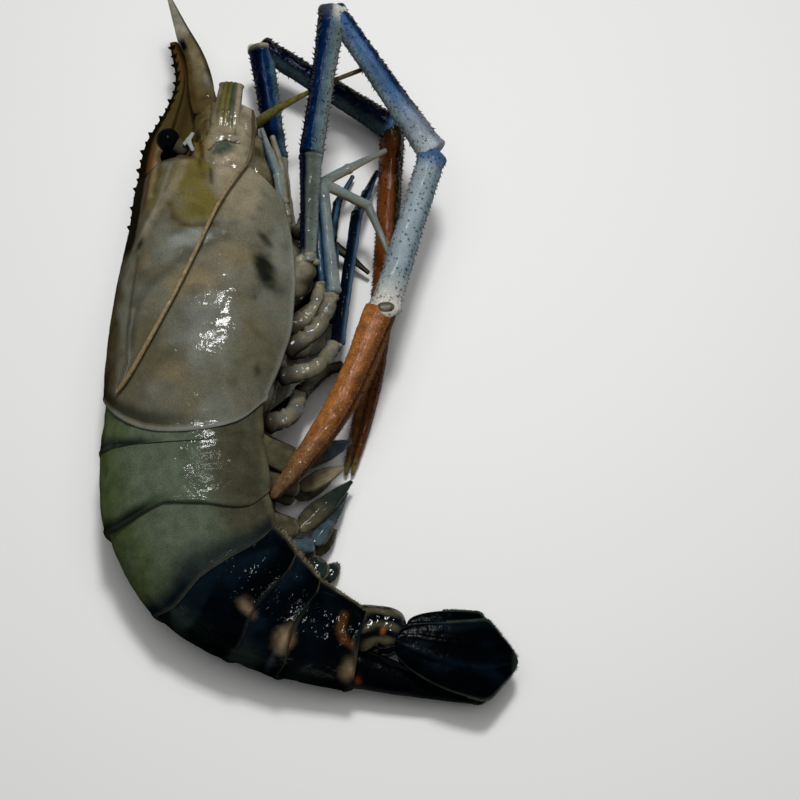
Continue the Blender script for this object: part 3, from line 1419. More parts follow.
def make_arms() -> list[ClawArm]:
    """Describe the two arms.

    Returns:
        The right and the left arm.
    """
    right = ClawArm(
        "right",
        joints=((-32.4, 24.6, 23.6), (-26.3, 31.6, 29.5), (-25.6, 61.6, 37.5), (-19.6, 107.0, 42.0),
                (9.6, 64.8, 32.5), (-4.6, 17.2, 27.5)),
        halves=((4.4, 3.8), (2.4, 3.4), (3.4, 4.1), (3.2, 4.3), (4.1, 4.3)),
        fixed_finger=((-4.6, 19.5, 26.2), (-11.0, -0.3, 25.0), (-20.4, -16.9, 23.4), (-34.9, -36.0, 21.4)),
        moving_finger=((-5.6, 17.6, 29.8), (-14.7, -5.4, 28.2), (-22.5, -19.4, 26.5), (-35.6, -36.6, 23.2)),
        finger_wide=3.5, finger_deep=1.9,
        looks=(
            LimbLook(Tone.FLESH, Tone.PALE_LIMB, Tone.FLESH),
            LimbLook(Tone.ARM_NAVY, Tone.ISCHIUM, Tone.LEG, start=Tone.GREY_LIMB, divide=0.2, thorns=20,
                     thorn_height=0.35),
            LimbLook(Tone.ARM_BLUE, Tone.MERUS_PALE, Tone.LEG, end=Tone.BONE, end_kept=0.9, divide=-0.3,
                     crisp=0.35, verge=Tone.ARM_NAVY, thorns=80, thorn_height=0.85, thorn_gap=1.9),
            LimbLook(Tone.ARM_BLUE, Tone.CARPUS_BLUE, Tone.ARM_PALE, end=Tone.ARM_WHITE, end_from=0.55,
                     end_kept=0.5, divide=0.1, crisp=0.4, verge=Tone.ARM_NAVY, thorns=130, thorn_height=0.8,
                     thorn_gap=1.9),
            LimbLook(Tone.ARM_PALE, Tone.PALM, Tone.PALM, start=Tone.CARPUS_BLUE, end=Tone.BONE,
                     end_from=0.72, divide=0.5, thorns=190),
        ),
        finger_looks=(
            LimbLook(Tone.CLAW_DARK, Tone.CLAW_DARK, Tone.CLAW, end=Tone.SWIM, crisp=0.8),
            LimbLook(Tone.CLAW_DARK, Tone.CLAW, Tone.CLAW, end=Tone.CLAW_TIP, end_from=0.5, divide=0.25,
                     crisp=0.6),
        ),
        seed=11,
    )
    left = ClawArm(
        "left",
        joints=((-33.2, 36.6, 12.5), (-33.4, 48.4, 9.5), (-37.5, 73.4, 11.6), (-42.9, 108.6, 18.8),
                (-2.2, 86.0, 8.4), (-5.2, 25.2, 4.4)),
        halves=((4.4, 4.0), (2.7, 3.1), (3.3, 3.9), (3.4, 4.2), (3.8, 3.7)),
        fixed_finger=((-4.4, 26.5, 4.2), (-6.0, 9.9, 3.4), (-9.2, -5.6, 2.8), (-14.0, -24.0, 2.2)),
        moving_finger=((-7.4, 22.6, 4.4), (-9.4, 8.2, 3.6), (-12.4, -7.0, 3.0), (-15.8, -24.0, 2.4)),
        finger_wide=1.7, finger_deep=2.0,
        looks=(
            LimbLook(Tone.FLESH, Tone.PALE_LIMB, Tone.FLESH),
            LimbLook(Tone.LEG_NAVY, Tone.LEG, Tone.PALE_LIMB, divide=0.3),
            LimbLook(Tone.ARM_NAVY, Tone.ARM_BLUE, Tone.MERUS_PALE, end=Tone.SWIM_TAN, end_from=0.92,
                     end_kept=0.5, thorns=50, thorn_height=0.8, thorn_gap=1.9),
            LimbLook(Tone.BLACK_BLUE, Tone.ARM_NAVY, Tone.FAR_BLUE, end=Tone.CARPUS_BLUE, end_from=0.92,
                     end_kept=0.6, divide=-0.1, crisp=0.5, thorns=40, thorn_height=0.9, thorn_gap=1.8),
            LimbLook(Tone.BROWN_BLACK, Tone.FAR_RED, Tone.FAR_RED, start=Tone.BROWN_BLACK, divide=0.3,
                     thorns=120),
        ),
        finger_looks=(
            LimbLook(Tone.CLAW_RED, Tone.CLAW_DARK, Tone.CLAW_RED, end=Tone.OLIVE),
            LimbLook(Tone.CLAW_DARK, Tone.CLAW_DARK, Tone.CLAW_RED, end=Tone.OLIVE),
        ),
        seed=31,
    )
    return [right, left]


@dataclass
class WalkingLeg:
    """A walking leg: an upper piece with a knobbly root and a lower piece."""
    name: str
    half: float
    joints: tuple[Point, ...]
    upper: LimbLook
    lower: LimbLook
    seed: int = 3
    sag: float = 3.0

    def build(self) -> None:
        """Make the leg's two pieces."""
        joints, half = [Vector(joint) for joint in self.joints], self.half
        sculpt = Sculpt()
        run = joints[1] - joints[0]
        elbow = joints[0].lerp(joints[1], 0.5) + Vector((run.y, -run.x, 0)).normalized() * self.sag
        self.root(sculpt, Route([joints[0], elbow, joints[1]]))
        limb(sculpt, joints[1:3], (1.3 * half, 1.05 * half), self.upper, self.seed + 1, 22, 44, 0.6)
        publish(f"{self.name}_above", sculpt, LEG_SHELL, f"{self.name}_upper")
        sculpt = Sculpt()
        limb(sculpt, joints[2:4], (1.05 * half, 0.9 * half), self.lower, self.seed + 2, 20, 36, 0.6)
        limb(sculpt, joints[3:5], (0.85 * half, 0.42 * half), self.lower, self.seed + 3, 18, 32, 0.6)
        publish(f"{self.name}_below", sculpt, LEG_SHELL, f"{self.name}_lower")

    def root(self, sculpt: Sculpt, route: Route) -> None:
        """Add the short lengths at the leg's root, as one knuckled tube.

        Args:
            sculpt: the mesh.
            route: the root's middle line.
        """
        draw = random.Random(self.seed)
        length = route.lengths[-1]
        shape = limb_half(length, 1.6 * self.half, 1.25 * self.half, 0.0, 0.6)
        knuckles = [(share + draw.uniform(-0.05, 0.05), draw.uniform(0.2, 2.9), draw.uniform(0.5, 0.9))
                    for share in (0.3, 0.36, 0.62, 0.68, 0.94, 0.95, 0.96) for _ in range(2)]

        def relief(share: float, turn: float) -> float:
            """Give the folds and the knuckles."""
            folds = sum(hump(share, middle, 0.05) for middle in (0.33, 0.65, 0.9))
            out = -0.22 * self.half * folds
            for middle, way, radius in knuckles:
                far = hypot((share - middle) * length, (turn - way) * 1.5 * self.half)
                out += 0.34 * self.half * hump(far, 0, radius * self.half)
            return out + 0.12 * self.half * ripple(share * length * 0.5, turn, self.seed)

        def colour(share: float, turn: float, point: Vector) -> Colour:
            """Give the colour: pale on top and dark at the root."""
            tone = mix(Tone.FLESH, Tone.PALE_LIMB, 0.6 * upward(turn, 0.4, 1.0))
            tone = mix(tone, Tone.FLESH_DARK, 0.85 * (1 - upward(turn, -0.3, 0.35)))
            tone = mix(tone, Tone.LEG_BLUE, 0.35 * smooth(noise(point * 0.4), 0, 0.4))
            tone = mix(tone, Tone.FLESH_DARK, 0.85 * fall(share, 0.1, 0.4))
            return *tone, upward(turn)

        sculpt.tube(route, shape, shape, colour, 32, 70, relief)


def make_legs() -> list[WalkingLeg]:
    """Describe the eight legs behind and before the arms.

    Returns:
        The legs.
    """
    pale = LimbLook(Tone.LEG_BLUE, Tone.LEG, Tone.LEG, divide=0.3, crisp=0.4)
    pale_end = LimbLook(Tone.LEG, Tone.LEG, Tone.SWIM_TAN, crisp=0.4)
    blue = LimbLook(Tone.LEG_NAVY, Tone.LEG_BLUE, Tone.LEG_NAVY)
    navy = LimbLook(Tone.LEG_NAVY, Tone.LEG_NAVY, Tone.LEG_BLUE)
    dusk = LimbLook(Tone.FLESH_DARK, Tone.SWIM, Tone.FLESH_DARK)
    return [
        WalkingLeg("leg_1_right", 1.4, (
            (-33.6, 43.0, 24.0), (-34.2, 51.0, 27.4), (-35.6, 60.0, 28.2), (-38.5, 68.0, 27.2),
            (-41.0, 76.0, 25.6)), pale_end, pale, 51, 0.5),
        WalkingLeg("leg_1_left", 1.4, (
            (-31.0, 44.5, 18.4), (-28.0, 52.0, 16.8), (-26.5, 61.0, 16.0), (-27.0, 69.0, 16.0),
            (-28.4, 76.5, 16.6)), pale_end, pale_end, 52, 0.5),
        WalkingLeg("leg_3_right", 1.65, (
            (-32.6, 13.0, 22.6), (-22.8, 29.0, 20.6), (-25.4, 59.4, 21.6), (-14.9, 66.4, 20.0),
            (-4.6, 72.6, 19.0)), blue, pale_end, 53),
        WalkingLeg("leg_4_right", 1.65, (
            (-33.0, 6.0, 24.6), (-18.9, 23.1, 27.0), (-22.8, 58.1, 26.6), (-9.4, 52.9, 22.0),
            (-2.9, 37.4, 20.0)), pale, pale_end, 54),
        WalkingLeg("leg_5_right", 1.65, (
            (-34.6, -1.6, 24.0), (-18.0, 10.4, 20.0), (-13.0, 53.6, 14.0), (-10.0, 63.0, 10.0),
            (-7.2, 71.6, 6.8)), navy, navy, 55),
        WalkingLeg("leg_3_left", 1.5, (
            (-32.6, 22.5, 13.5), (-26.4, 34.0, 9.5), (-20.6, 49.2, 8.0), (-19.2, 61.2, 6.5),
            (-14.8, 71.9, 3.0)), blue, blue, 56),
        WalkingLeg("leg_4_left", 1.5, (
            (-32.6, 10.0, 13.5), (-20.6, 19.8, 9.5), (-19.8, 46.4, 8.0), (-14.4, 43.0, 6.0),
            (-9.8, 39.6, 4.0)), navy, dusk, 57),
        WalkingLeg("leg_5_left", 1.8, (
            (-38.6, -13.6, 18.0), (-28.9, -2.6, 13.0), (-21.6, 7.4, 6.6), (-17.4, 9.0, 4.6),
            (-15.0, 2.0, 3.0)), dusk, dusk, 58),
    ]


# ---- head
def mirrored(point: Point) -> Vector:
    """Give the point on the other side of the head's middle plane."""
    return Vector((point[0], point[1], 2 * MID_HEIGHT - point[2]))


@dataclass
class Head:
    """Eyes, feeler roots, scales, short feelers' stems and jaw legs of one side."""
    side: str
    # place along the head, left edge, right edge and height above the middle plane
    face: tuple[tuple[float, ...], ...] = (
        (54.0, -60.5, -42.0, 12.4), (58.0, -61.2, -42.0, 13.9), (62.0, -61.6, -42.0, 14.4),
        (66.0, -62.2, -42.2, 13.4), (70.0, -62.5, -42.4, 12.3), (76.0, -62.3, -42.6, 10.5),
        (82.0, -61.4, -43.4, 8.6), (87.0, -59.8, -46.0, 6.3))
    face_marks: tuple[Patch | Stroke, ...] = (
        Patch(Tone.PINK_BEIGE, (-49.6, 62.6), (5.2, 4.4), share=0.8, height=0.7),
        Patch(Tone.OLIVE_LIGHT, (-55.0, 62.0), (3.4, 4.6), share=0.8, height=0.3),
        Patch(Tone.PALE_LIMB, (-45.6, 75.2), (3.2, 6.0), share=0.8, height=1.4),
        Patch(Tone.OLIVE, (-55.0, 78.0), (4.0, 6.0), share=0.7, height=0.4),
        Patch(Tone.BLADE, (-59.4, 77.0), (5.2, 13.0), share=0.9, crisp=0.3, height=0.4),
        Patch(Tone.BEIGE, (-55.8, 74.0), (1.2, 5.0), share=0.5, height=0.7),
        Stroke(Tone.FLESH_DARK, ((-56.2, 84.0), (-55.6, 77.0), (-56.4, 71.5)), 0.9, 0.7, -0.5),
        Stroke(Tone.FLESH_DARK, ((-48.9, 82.0), (-48.9, 76.0), (-48.2, 71.0)), 0.8, 0.6, -0.7),
        Stroke(Tone.FLESH, ((-44.0, 82.0), (-43.6, 74.0), (-44.6, 66.0)), 0.8, 0.5, 0.4),
        Patch(Tone.SPOT, (-57.6, 85.0), (1.2, 1.9), share=0.9, height=-0.8),
        Patch(Tone.SPOT, (-59.6, 71.4), (1.8, 2.8), lean=12, share=0.95, crisp=0.3, height=-2.0),
        Stroke(Tone.CLAW_RED, ((-58.6, 69.0), (-57.8, 64.5), (-57.3, 60.0)), 1.1, 0.9, -1.2),
        Stroke(Tone.OLIVE_LIGHT, ((-60.6, 67.0), (-59.4, 62.5), (-59.4, 58.5)), 1.2, 0.8, 0.7),
        Patch(Tone.DOME_GREEN, (-51.4, 65.8), (4.4, 3.0), lean=12, crisp=0.6, height=1.6),
        Patch(Tone.RING_DARK, (-51.0, 64.6), (2.2, 1.2), lean=20, share=0.5),
        Stroke(Tone.BLACK_BLUE, ((-55.4, 65.6), (-53.6, 68.2), (-51.0, 69.2), (-49.2, 68.5), (-47.3, 68.9)),
               0.85, 1.0, -0.6),
        Stroke(Tone.PALE_LIMB, ((-54.4, 70.4), (-51.2, 71.2), (-48.0, 70.8)), 0.9, 0.7, 0.6),
    )

    def put(self, *points: Point) -> list[Vector]:
        """Take points of the right side over to this side."""
        return [Vector(point) if self.side == "right" else mirrored(point) for point in points]

    def build(self) -> None:
        """Make the side's five pieces."""
        self.eye()
        self.root()
        self.scale()
        self.stems()
        self.jaw_leg()

    def eye(self) -> None:
        """Make the stalked eye."""
        sculpt = Sculpt()
        middle, root, hollow, low = self.put(
            (-68.2, 70.8, 29.4), (-62.4, 68.2, 27.0), (-67.2, 66.4, 27.2), (-64.2, 65.2, 28.2))
        sculpt.ball(middle, (3.45, 3.45, 3.3), (*Tone.EYE, 0.25), 36)
        sculpt.ball(hollow, (3.4, 3.0, 1.5), SOCKET_BLACK, 28)
        stalk = Route([root, middle])
        half = limb_half(stalk.lengths[-1], 2.3, 2.4)
        grey = LimbLook(Tone.EYE_STALK, Tone.EYE_STALK, Tone.BLADE, waves=0.2)
        sculpt.tube(stalk, half, half, grey.colour, 24, 24)
        sculpt.ball(low, (1.9, 1.2, 1.3), Tone.EYE_STALK, 16)
        thin = limb_half(4.0, 1.0, 0.6)
        for tip in ((-60.7, 72.6, 30.6), (-60.4, 66.2, 31.2), (-63.4, 68.4, 30.9)):
            shred = Route(self.put((-62.0, 69.6, 31.4), tip))
            sculpt.tube(shred, lambda share: 0.85 * thin(share), lambda share: 0.3 * thin(share),
                        lambda share, turn, point: Tone.RIM, 12, 20)
        publish(f"eye_{self.side}_ball", sculpt, MATTE_EYE, f"eye_{self.side}")

    def root(self) -> None:
        """Make the wet face over the swollen root of the long feeler."""
        sculpt = Sculpt()
        sign = 1 if self.side == "right" else -1

        def place(along: float, turn: float) -> Vector:
            """Give the face's point: a dome above a nearly flat back."""
            share = crowd(along)
            y = self.face[0][0] + (self.face[-1][0] - self.face[0][0]) * share
            left, right, height = (read(self.face, y, column) for column in (1, 2, 3))
            end = blunt(share, 14)
            x = (left + right) / 2 + (right - left) / 2 * end * copysign(abs(cos(turn)) ** 0.8, cos(turn))
            if turn <= 0:
                return Vector((x, y, MID_HEIGHT - 0.8 * sign * abs(sin(turn)) * end))
            spot = Vector((x, y, 0))
            out = sum(mark.height * mark.weight(spot) for mark in self.face_marks if mark.height)
            out += 0.3 * noise(spot * 0.33) + 0.16 * noise(spot * 0.9)
            lift = sin(turn) ** 0.62
            return Vector((x, y, MID_HEIGHT + sign * (height + out) * lift * end))

        def colour(along: float, turn: float, point: Vector) -> Colour:
            """Give the face's colour."""
            tone = mix(Tone.OLIVE, Tone.BEIGE, smooth(point.x, -58.5, -53.5))
            for mark in self.face_marks:
                tone = mix(tone, mark.tone, mark.weight(point))
            steep = fall(sin(max(turn, 0.0)), 0.1, 0.5)
            wetness = (1 - steep) * smooth(point.x, -60.0, -57.0)
            return *mix(tone, Tone.FLESH_DARK, 0.7 * steep), wetness

        sculpt.sleeve(96, 120, place, colour)
        knob, = self.put((-45.6, 76.6, 27.2))
        sculpt.ball(knob, (3.2, 6.0, 3.6), Tone.BEIGE, 28)
        publish(f"feeler_root_{self.side}", sculpt, WET_FLESH, f"antenna_base_{self.side}")

    def scale(self) -> None:
        """Make the pointed scale beside the rostrum."""
        sculpt = Sculpt()
        shape = ((0, 0.9), (0.22, 1), (0.45, 0.76), (0.66, 0.58), (1, 0.14))
        route = Route(self.put(
            (-58.2, 81.0, 26.2), (-61.6, 99.6, 25.4), (-66.3, 110.4, 25.0), (-71.4, 123.4, 24.6)))

        def wide(share: float) -> float:
            """Give the half width at a share."""
            return 3.8 * read(shape, share, 1) * blunt(share, 40)

        def relief(share: float, turn: float) -> float:
            """Give the rib and the swelling at the root."""
            rib = 0.35 * hump(abs(turn), pi * 0.62, 0.35) * (1 - share)
            return rib + 0.5 * hump(share, 0.2, 0.12) * hump(abs(turn), 1.0, 0.9)

        def colour(share: float, turn: float, point: Vector) -> Colour:
            """Give the scale's colour: brown below its notch and pale above."""
            outer = smooth(cos(turn), 0.45, 0.85)
            tone = mix(Tone.SCALE_BROWN, Tone.FLESH, 0.7 * hump(share, 0.2, 0.12) * hump(turn, 1.0, 0.8))
            tone = mix(tone, Tone.OLIVE, 0.35 * smooth(noise(point * 0.35), -0.1, 0.3))
            tone = mix(tone, Tone.SCALE_PALE, smooth(share, 0.6, 0.68))
            inner = smooth(-cos(turn), 0.1, 0.8) * fall(share, 0.5, 0.56)
            tone = mix(tone, Tone.BLADE, inner)
            notch = smooth(share, 0.5, 0.54) * fall(share, 0.6, 0.64) * smooth(-cos(turn), 0.1, 0.5)
            tone = mix(tone, Tone.BLACK_BLUE, notch)
            tone = mix(tone, Tone.RIM, 0.5 * hump(share, 0.24, 0.1) * hump(cos(turn), 0.55, 0.4))
            tone = mix(tone, Tone.BLADE, 0.85 * fall(share, 0.1, 0.34))
            edge = max(inner, fall(share, 0.05, 0.2))
            return *mix(tone, Tone.BLACK_BLUE, 0.8 * outer * smooth(share, 0.15, 0.3)), 0.7 * (1 - edge)

        sculpt.tube(route, wide, lambda share: 0.8 * (1.3 - share * 0.8) * min(1.0, wide(share) / 1.2),
                    colour, 32, 70, relief)
        publish(f"scale_{self.side}", sculpt, WET_FLESH, f"antennal_scale_{self.side}")

    def stems(self) -> None:
        """Make the ridged bundle of the short feelers' cut stems."""
        sculpt = Sculpt()
        route = Route(self.put((-52.2, 69.5, 27.6), (-51.2, 80.0, 29.4), (-50.3, 90.4, 27.4)))
        profile = limb_half(route.lengths[-1], 5.6, 3.5, cap=0.12)
        ridges = ((-0.78, 0.3), (-0.36, 0.24), (0.02, 0.2), (0.36, 0.16), (0.74, 0.3))

        def relief(share: float, turn: float) -> float:
            """Give the ridges."""
            across = cos(turn)
            return 0.35 * max(hump(across, middle, half) for middle, half in ridges) * abs(sin(turn)) ** 0.5

        def colour(share: float, turn: float, point: Vector) -> Colour:
            """Give the colour: stripes along the ridges."""
            across = cos(turn) + 0.1 * ripple(share * 4, 0, 3)
            tone = mix(Tone.SCALE_BROWN, Tone.OLIVE_ROD, smooth(across, -0.7, -0.35))
            tone = mix(tone, Tone.DOME_GREEN, smooth(across, 0.1, 0.3))
            tone = mix(tone, Tone.SWIM_TAN, smooth(across, 0.4, 0.6))
            valley = fall(relief(share, turn), 0.0, 0.3)
            tone = mix(tone, Tone.BEIGE, 0.7 * fall(share, 0.2, 0.6))
            return mix(tone, Tone.FLESH_DARK, 0.5 * valley * smooth(share, 0.2, 0.5))

        sculpt.tube(route, profile, lambda share: profile(share) * 0.4, colour, 72, 44, relief)
        publish(f"short_feelers_{self.side}", sculpt, WET_FLESH, f"antennule_{self.side}")

    def jaw_leg(self) -> None:
        """Make the jaw leg that lies against the underside."""
        sculpt = Sculpt()
        route = Route(self.put((-34.5, 53.0, 22.6), (-34.8, 62.0, 23.8), (-38.2, 75.6, 23.2)))
        look = LimbLook(Tone.FLESH, Tone.PALE_LIMB, Tone.FLESH, waves=0.12)
        half = limb_half(route.lengths[-1], 2.0, 0.8)
        sculpt.tube(route, half, lambda share: half(share) * 0.8, look.colour, 20, 40)
        publish(f"jaw_leg_{self.side}", sculpt, WET_FLESH, f"maxilliped_{self.side}")


@dataclass
class Feelers:
    """The long feelers: the right one folded back over the shell, the left one a stump past the arms."""
    half: float = 0.65
    rings: float = 900.0

    def shell_top(self, x: float, y: float) -> float:
        """Give the height of the thorax shell above a place.

        Args:
            x: place across.
            y: place along.

        Returns:
            The height.
        """
        station = MIDLINE_START[1] - y
        if x < MIDLINE_START[0]:
            power, extent = BACK_POWER, read(STATIONS, station, 2)
        else:
            power = BELLY_POWER
            extent = read(STATIONS, station, 3) / abs(cos(EDGE_TURN)) ** (2 / power)
        across = min(abs(x - MIDLINE_START[0]) / (extent + SHELL_RISE), 1)
        lift = (read(STATIONS, station, 4) + SHELL_RISE) * (1 - across ** power) ** (1 / power)
        return read(STATIONS, station, 5) + lift

    def build(self) -> None:
        """Make the two feelers."""
        plan = ((-43.8, 62.0), (-47.0, 54.5), (-50.9, 46.1), (-55.8, 32.8), (-61.0, 19.5), (-68.6, 3.6),
                (-74.4, -5.9), (-78.2, -9.8))
        rest = [(x, y, self.shell_top(x, y) + self.half + 0.75) for x, y in plan]
        sculpt = Sculpt()

        def thread(share: float) -> float:
            """Give the half width of the folded feeler."""
            return self.half * (0.7 + 0.3 * share) * blunt(share, 60)

        def colour(share: float, turn: float, point: Vector) -> Colour:
            """Give the folded feeler's ringed colour."""
            tone = mix(Tone.FEELER_DARK, Tone.FEELER, smooth(share, 0.05, 0.35))
            ring = 0.12 * sin(share * self.rings)
            return mix(tone, Tone.FEELER_DARK, clamp(0.45 * smooth(-sin(turn), -0.4, 0.6) + ring))

        sculpt.tube(Route([(-43.2, 78.8, 33.0), (-42.6, 70.0, 34.0), *rest]), thread, thread, colour, 14, 160,
                    lambda share, turn: 0.03 * sin(share * self.rings))
        publish("folded_feeler", sculpt, HORNY_THREAD, "antenna_right")
        sculpt = Sculpt()
        path = ((-44.0, 80.5, 20.0), (-38.5, 81.5, 26.0), (-31.0, 84.0, 30.0), (-19.8, 88.6, 32.6),
                (-10.1, 92.4, 33.4))

        def olive(share: float, turn: float, point: Vector) -> Colour:
            """Give the stump's flecked colour."""
            flecks = smooth(noise(point * 1.6), 0.25, 0.45)
            tone = mix(Tone.OLIVE_ROD, Tone.CLAW_RED, 0.7 * flecks)
            return mix(tone, Tone.FEELER_DARK, smooth(share, 0.45, 0.7))

        def wide(share: float) -> float:
            """Give the half width of the stump."""
            return (1.7 - 1.0 * smooth(share, 0, 0.6)) * blunt(share, 40)

        sculpt.tube(Route(path), wide, lambda share: wide(share) * 0.9, olive, 18, 70)
        publish("forward_feeler", sculpt, HORNY_THREAD, "antenna_left")


# ---- tail fan
@dataclass
class TailFan:
    """The telson and the two pairs of fin blades on their roots."""
    outline: tuple[tuple[float, float], ...] = (
        (0, 0.35), (0.15, 0.62), (0.35, 0.84), (0.62, 1.04), (0.75, 1.06), (0.88, 0.6), (1, 0.14))
    thickness: float = 0.65
    hairs: int = 260
    orange_spot: tuple[float, float] = (-4.6, -72.4)
    spot_half: float = 0.8

    def build(self) -> None:
        """Make the fan's seven pieces."""
        self.telson()
        roots = {
            "right": ((-15, -72.6, 14.6), (-6.5, -70.8, 14.6), (1.5, -73.2, 14.0)),
            "left": ((-15, -72.6, 5.0), (-6.5, -70.8, 4.6), (1.5, -73.2, 4.2)),
        }
        blades = {
            "right_outer": ((-1.2, -74.8, 16.6), (15, -79.0, 15.4), (32.4, -80.0, 11.8)),
            "right_inner": ((1.5, -71.0, 13.8), (13, -72.8, 12.8), (27, -75.6, 9.6)),
            "left_outer": ((-0.5, -74.0, 1.4), (15, -77.8, 1.1), (31.5, -79.6, 1.0)),
            "left_inner": ((1.5, -70.5, 4.6), (13, -71.8, 4.0), (25, -74.4, 3.2)),
        }
        for side, path in roots.items():
            self.root(side, Route(path))
        for name, path in blades.items():
            self.blade(name, Route(path), 10.2 if name.endswith("outer") else 7.6)

    def telson(self) -> None:
        """Make the pointed middle piece."""
        route = Route([(-14, -80.5, 9.6), (6, -86.0, 8.6), (21.4, -90.0, 6.2)])

        def taper(share: float, root: float, power: float) -> float:
            """Narrow a half size to a blunt tip."""
            return (root * (1 - min(share, 1)) ** power + 0.5) * dome((share - 0.985) / 0.015)

        def relief(share: float, turn: float) -> float:
            """Give the two keels."""
            keels = hump(turn, radians(62), 0.22) + hump(turn, radians(118), 0.22)
            return 0.35 * keels * (1 - share) + 0.12 * ripple(share * 9, turn * 2, 0)

        def colour(share: float, turn: float, point: Vector) -> Colour:
            """Give the spike's colour."""
            tone = mix(Tone.FIN, Tone.BLACK_BLUE, upward(turn, -0.2, 0.8))
            spot = hypot(point.x + 11.6, point.y + 85.4)
            tone = mix(tone, Tone.ORANGE_SPOT, 0.35 * fall(spot, 0.0, 1.8))
            return mix(tone, Tone.FIN_RIM, 0.4 * smooth(share, 0.9, 1.0))

        sculpt = Sculpt()
        sculpt.tube(route, lambda share: taper(share, 5.6, 0.8), lambda share: taper(share, 4.6, 0.7), colour,
                    40, 60, relief)
        publish("telson_spike", sculpt, WET_FIN, "telson")

    def root(self, side: str, route: Route) -> None:
        """Make the swollen root of a pair of blades.

        Args:
            side: right or left.
            route: the root's middle line.
        """
        wide = limb_half(route.lengths[-1], 6.6, 5.0, 0.0)

        def relief(share: float, turn: float) -> float:
            """Give the groove and the waves."""
            groove = -0.5 * hump(share, 0.62, 0.12) * upward(turn)
            return groove + 0.25 * ripple(share * 5, turn * 1.5, 3)

        def colour(share: float, turn: float, point: Vector) -> Colour:
            """Give the root's striped colour."""
            stripe = smooth(sin(cos(turn) * 9 + share * 3), -0.2, 0.7)
            tone = mix(Tone.BLACK_BLUE, Tone.SWIM, 0.8 * stripe * smooth(share, 0.1, 0.3))
            tone = mix(tone, Tone.NAVY, smooth(share, 0.75, 0.95))
            x, y = self.orange_spot
            far = hypot(point.x - x, point.y - y)
            near = fall(far, self.spot_half * 0.4, self.spot_half * 1.5)
            return mix(tone, Tone.ORANGE_SPOT, near)

        sculpt = Sculpt()
        sculpt.tube(route, wide, lambda share: wide(share) / 6.6 * 3.9, colour, 36, 44, relief)
        publish(f"fin_root_{side}", sculpt, WET_FLESH, f"uropod_{side}_base")

    def blade(self, name: str, route: Route, half: float) -> None:
        """Make a thin fin blade with two ribs and a hairy edge.

        Args:
            name: its side and whether it is the inner or the outer one.
            route: its middle line.
            half: its greatest half width.
        """
        def wide(share: float) -> float:
            """Give the half width at a share."""
            return half * read(self.outline, share, 1) * blunt(share, 24)

        def relief(share: float, turn: float) -> float:
            """Give the ribs and the fine rays."""
            fade = sin(pi * clamp(share * 0.9 + 0.05))
            ribs = hump(turn, radians(80), 0.1) + 0.7 * hump(turn, radians(112), 0.08)
            return 0.5 * ribs * fade + 0.05 * sin(cos(turn) * 60) * fade

        def colour(share: float, turn: float, point: Vector) -> Colour:
            """Give the blade's colour, with a paler edge."""
            edge = max(smooth(abs(cos(turn)), 0.93, 0.995), smooth(share, 0.93, 0.99))
            sheen = smooth(ripple(point.x * 0.1, point.y * 0.25, 1), 0.0, 0.5)
            tone = mix(Tone.FIN, Tone.NAVY, 0.5 * sheen)
            rib = hump(turn, radians(80), 0.12)
            tone = mix(tone, Tone.NAVY, 0.6 * rib)
            return *mix(tone, Tone.FIN_RIM, 0.7 * edge), upward(turn, 0.2, 0.6)

        sculpt = Sculpt()
        sculpt.tube(route, wide, lambda share: self.thickness * (1.5 - share) * min(1.0, wide(share) / 2),
                    colour, 64, 70, relief)
        draw = random.Random(len(name))
        for index in range(self.hairs):
            share = 0.35 + 0.64 * index / self.hairs
            for hand in (-1, 1):
                if hand > 0 or share >= 0.6:
                    edge_hair(sculpt, route, wide, share, hand, (1.25 - share, share * 1.2),
                              draw.uniform(0.5, 1.0), 0.1, Tone.FIN_RIM)
        publish(f"fin_{name}", sculpt, WET_FIN, f"uropod_{name}")


# ---- underside
@dataclass
class Underside:
    """The soft underside of the thorax between the legs."""
    rows: tuple[tuple[float, ...], ...] = (
        (-13, -42.0, 4.2, 6.5), (-7, -40.5, 4.5, 7.0), (5, -37.2, 5.2, 8.0), (30, -36.6, 5.4, 8.0),
        (50, -39.0, 6.0, 7.5), (62, -43.5, 7.0, 7.5), (72, -48.0, 9.0, 7.5), (78, -52.0, 9.0, 7.0),
        (82, -53.0, 6.0, 5.0))
    fold_rate: float = 0.62

    def build(self) -> None:
        """Make the underside with a fold between each pair of legs."""
        low, high = self.rows[0][0], self.rows[-1][0]

        def place(along: float, turn: float) -> Vector:
            """Give the point, with a fold between the legs."""
            share = crowd(along)
            y = low + (high - low) * share
            end = blunt(share, 20)
            fold = 0.35 * sin(y * self.fold_rate) + 0.5 * ripple(y * 0.3, turn, 0)
            deep, wide = (max(read(self.rows, y, column) + fold, 0) * end for column in (2, 3))
            return Vector((read(self.rows, y, 1) + cos(turn) * deep, y, MID_HEIGHT + sin(turn) * wide))

        def colour(along: float, turn: float, point: Vector) -> Colour:
            """Give the colour, dark in the folds."""
            crease = smooth(sin(point.y * self.fold_rate), -0.9, 0.2)
            tone = mix(Tone.FLESH_DARK, Tone.FLESH, 0.3 + 0.7 * crease)
            return mix(tone, Tone.OLIVE_ROD, 0.5 * smooth(point.y, 66, 76))

        sculpt = Sculpt()
        sculpt.sleeve(40, 120, place, colour)
        publish("underside", sculpt, WET_FLESH, "thorax_underside")


@dataclass(frozen=True)
class Branch:
    """One side of a pair of swimmerets: where the stem bends, where the leaves end, and half widths."""
    knee: Point
    tips: tuple[Point, ...]
    stem: float
    leaf: float
    stem_tone: Tone = Tone.SWIM
    leaf_tone: Tone = Tone.SWIM


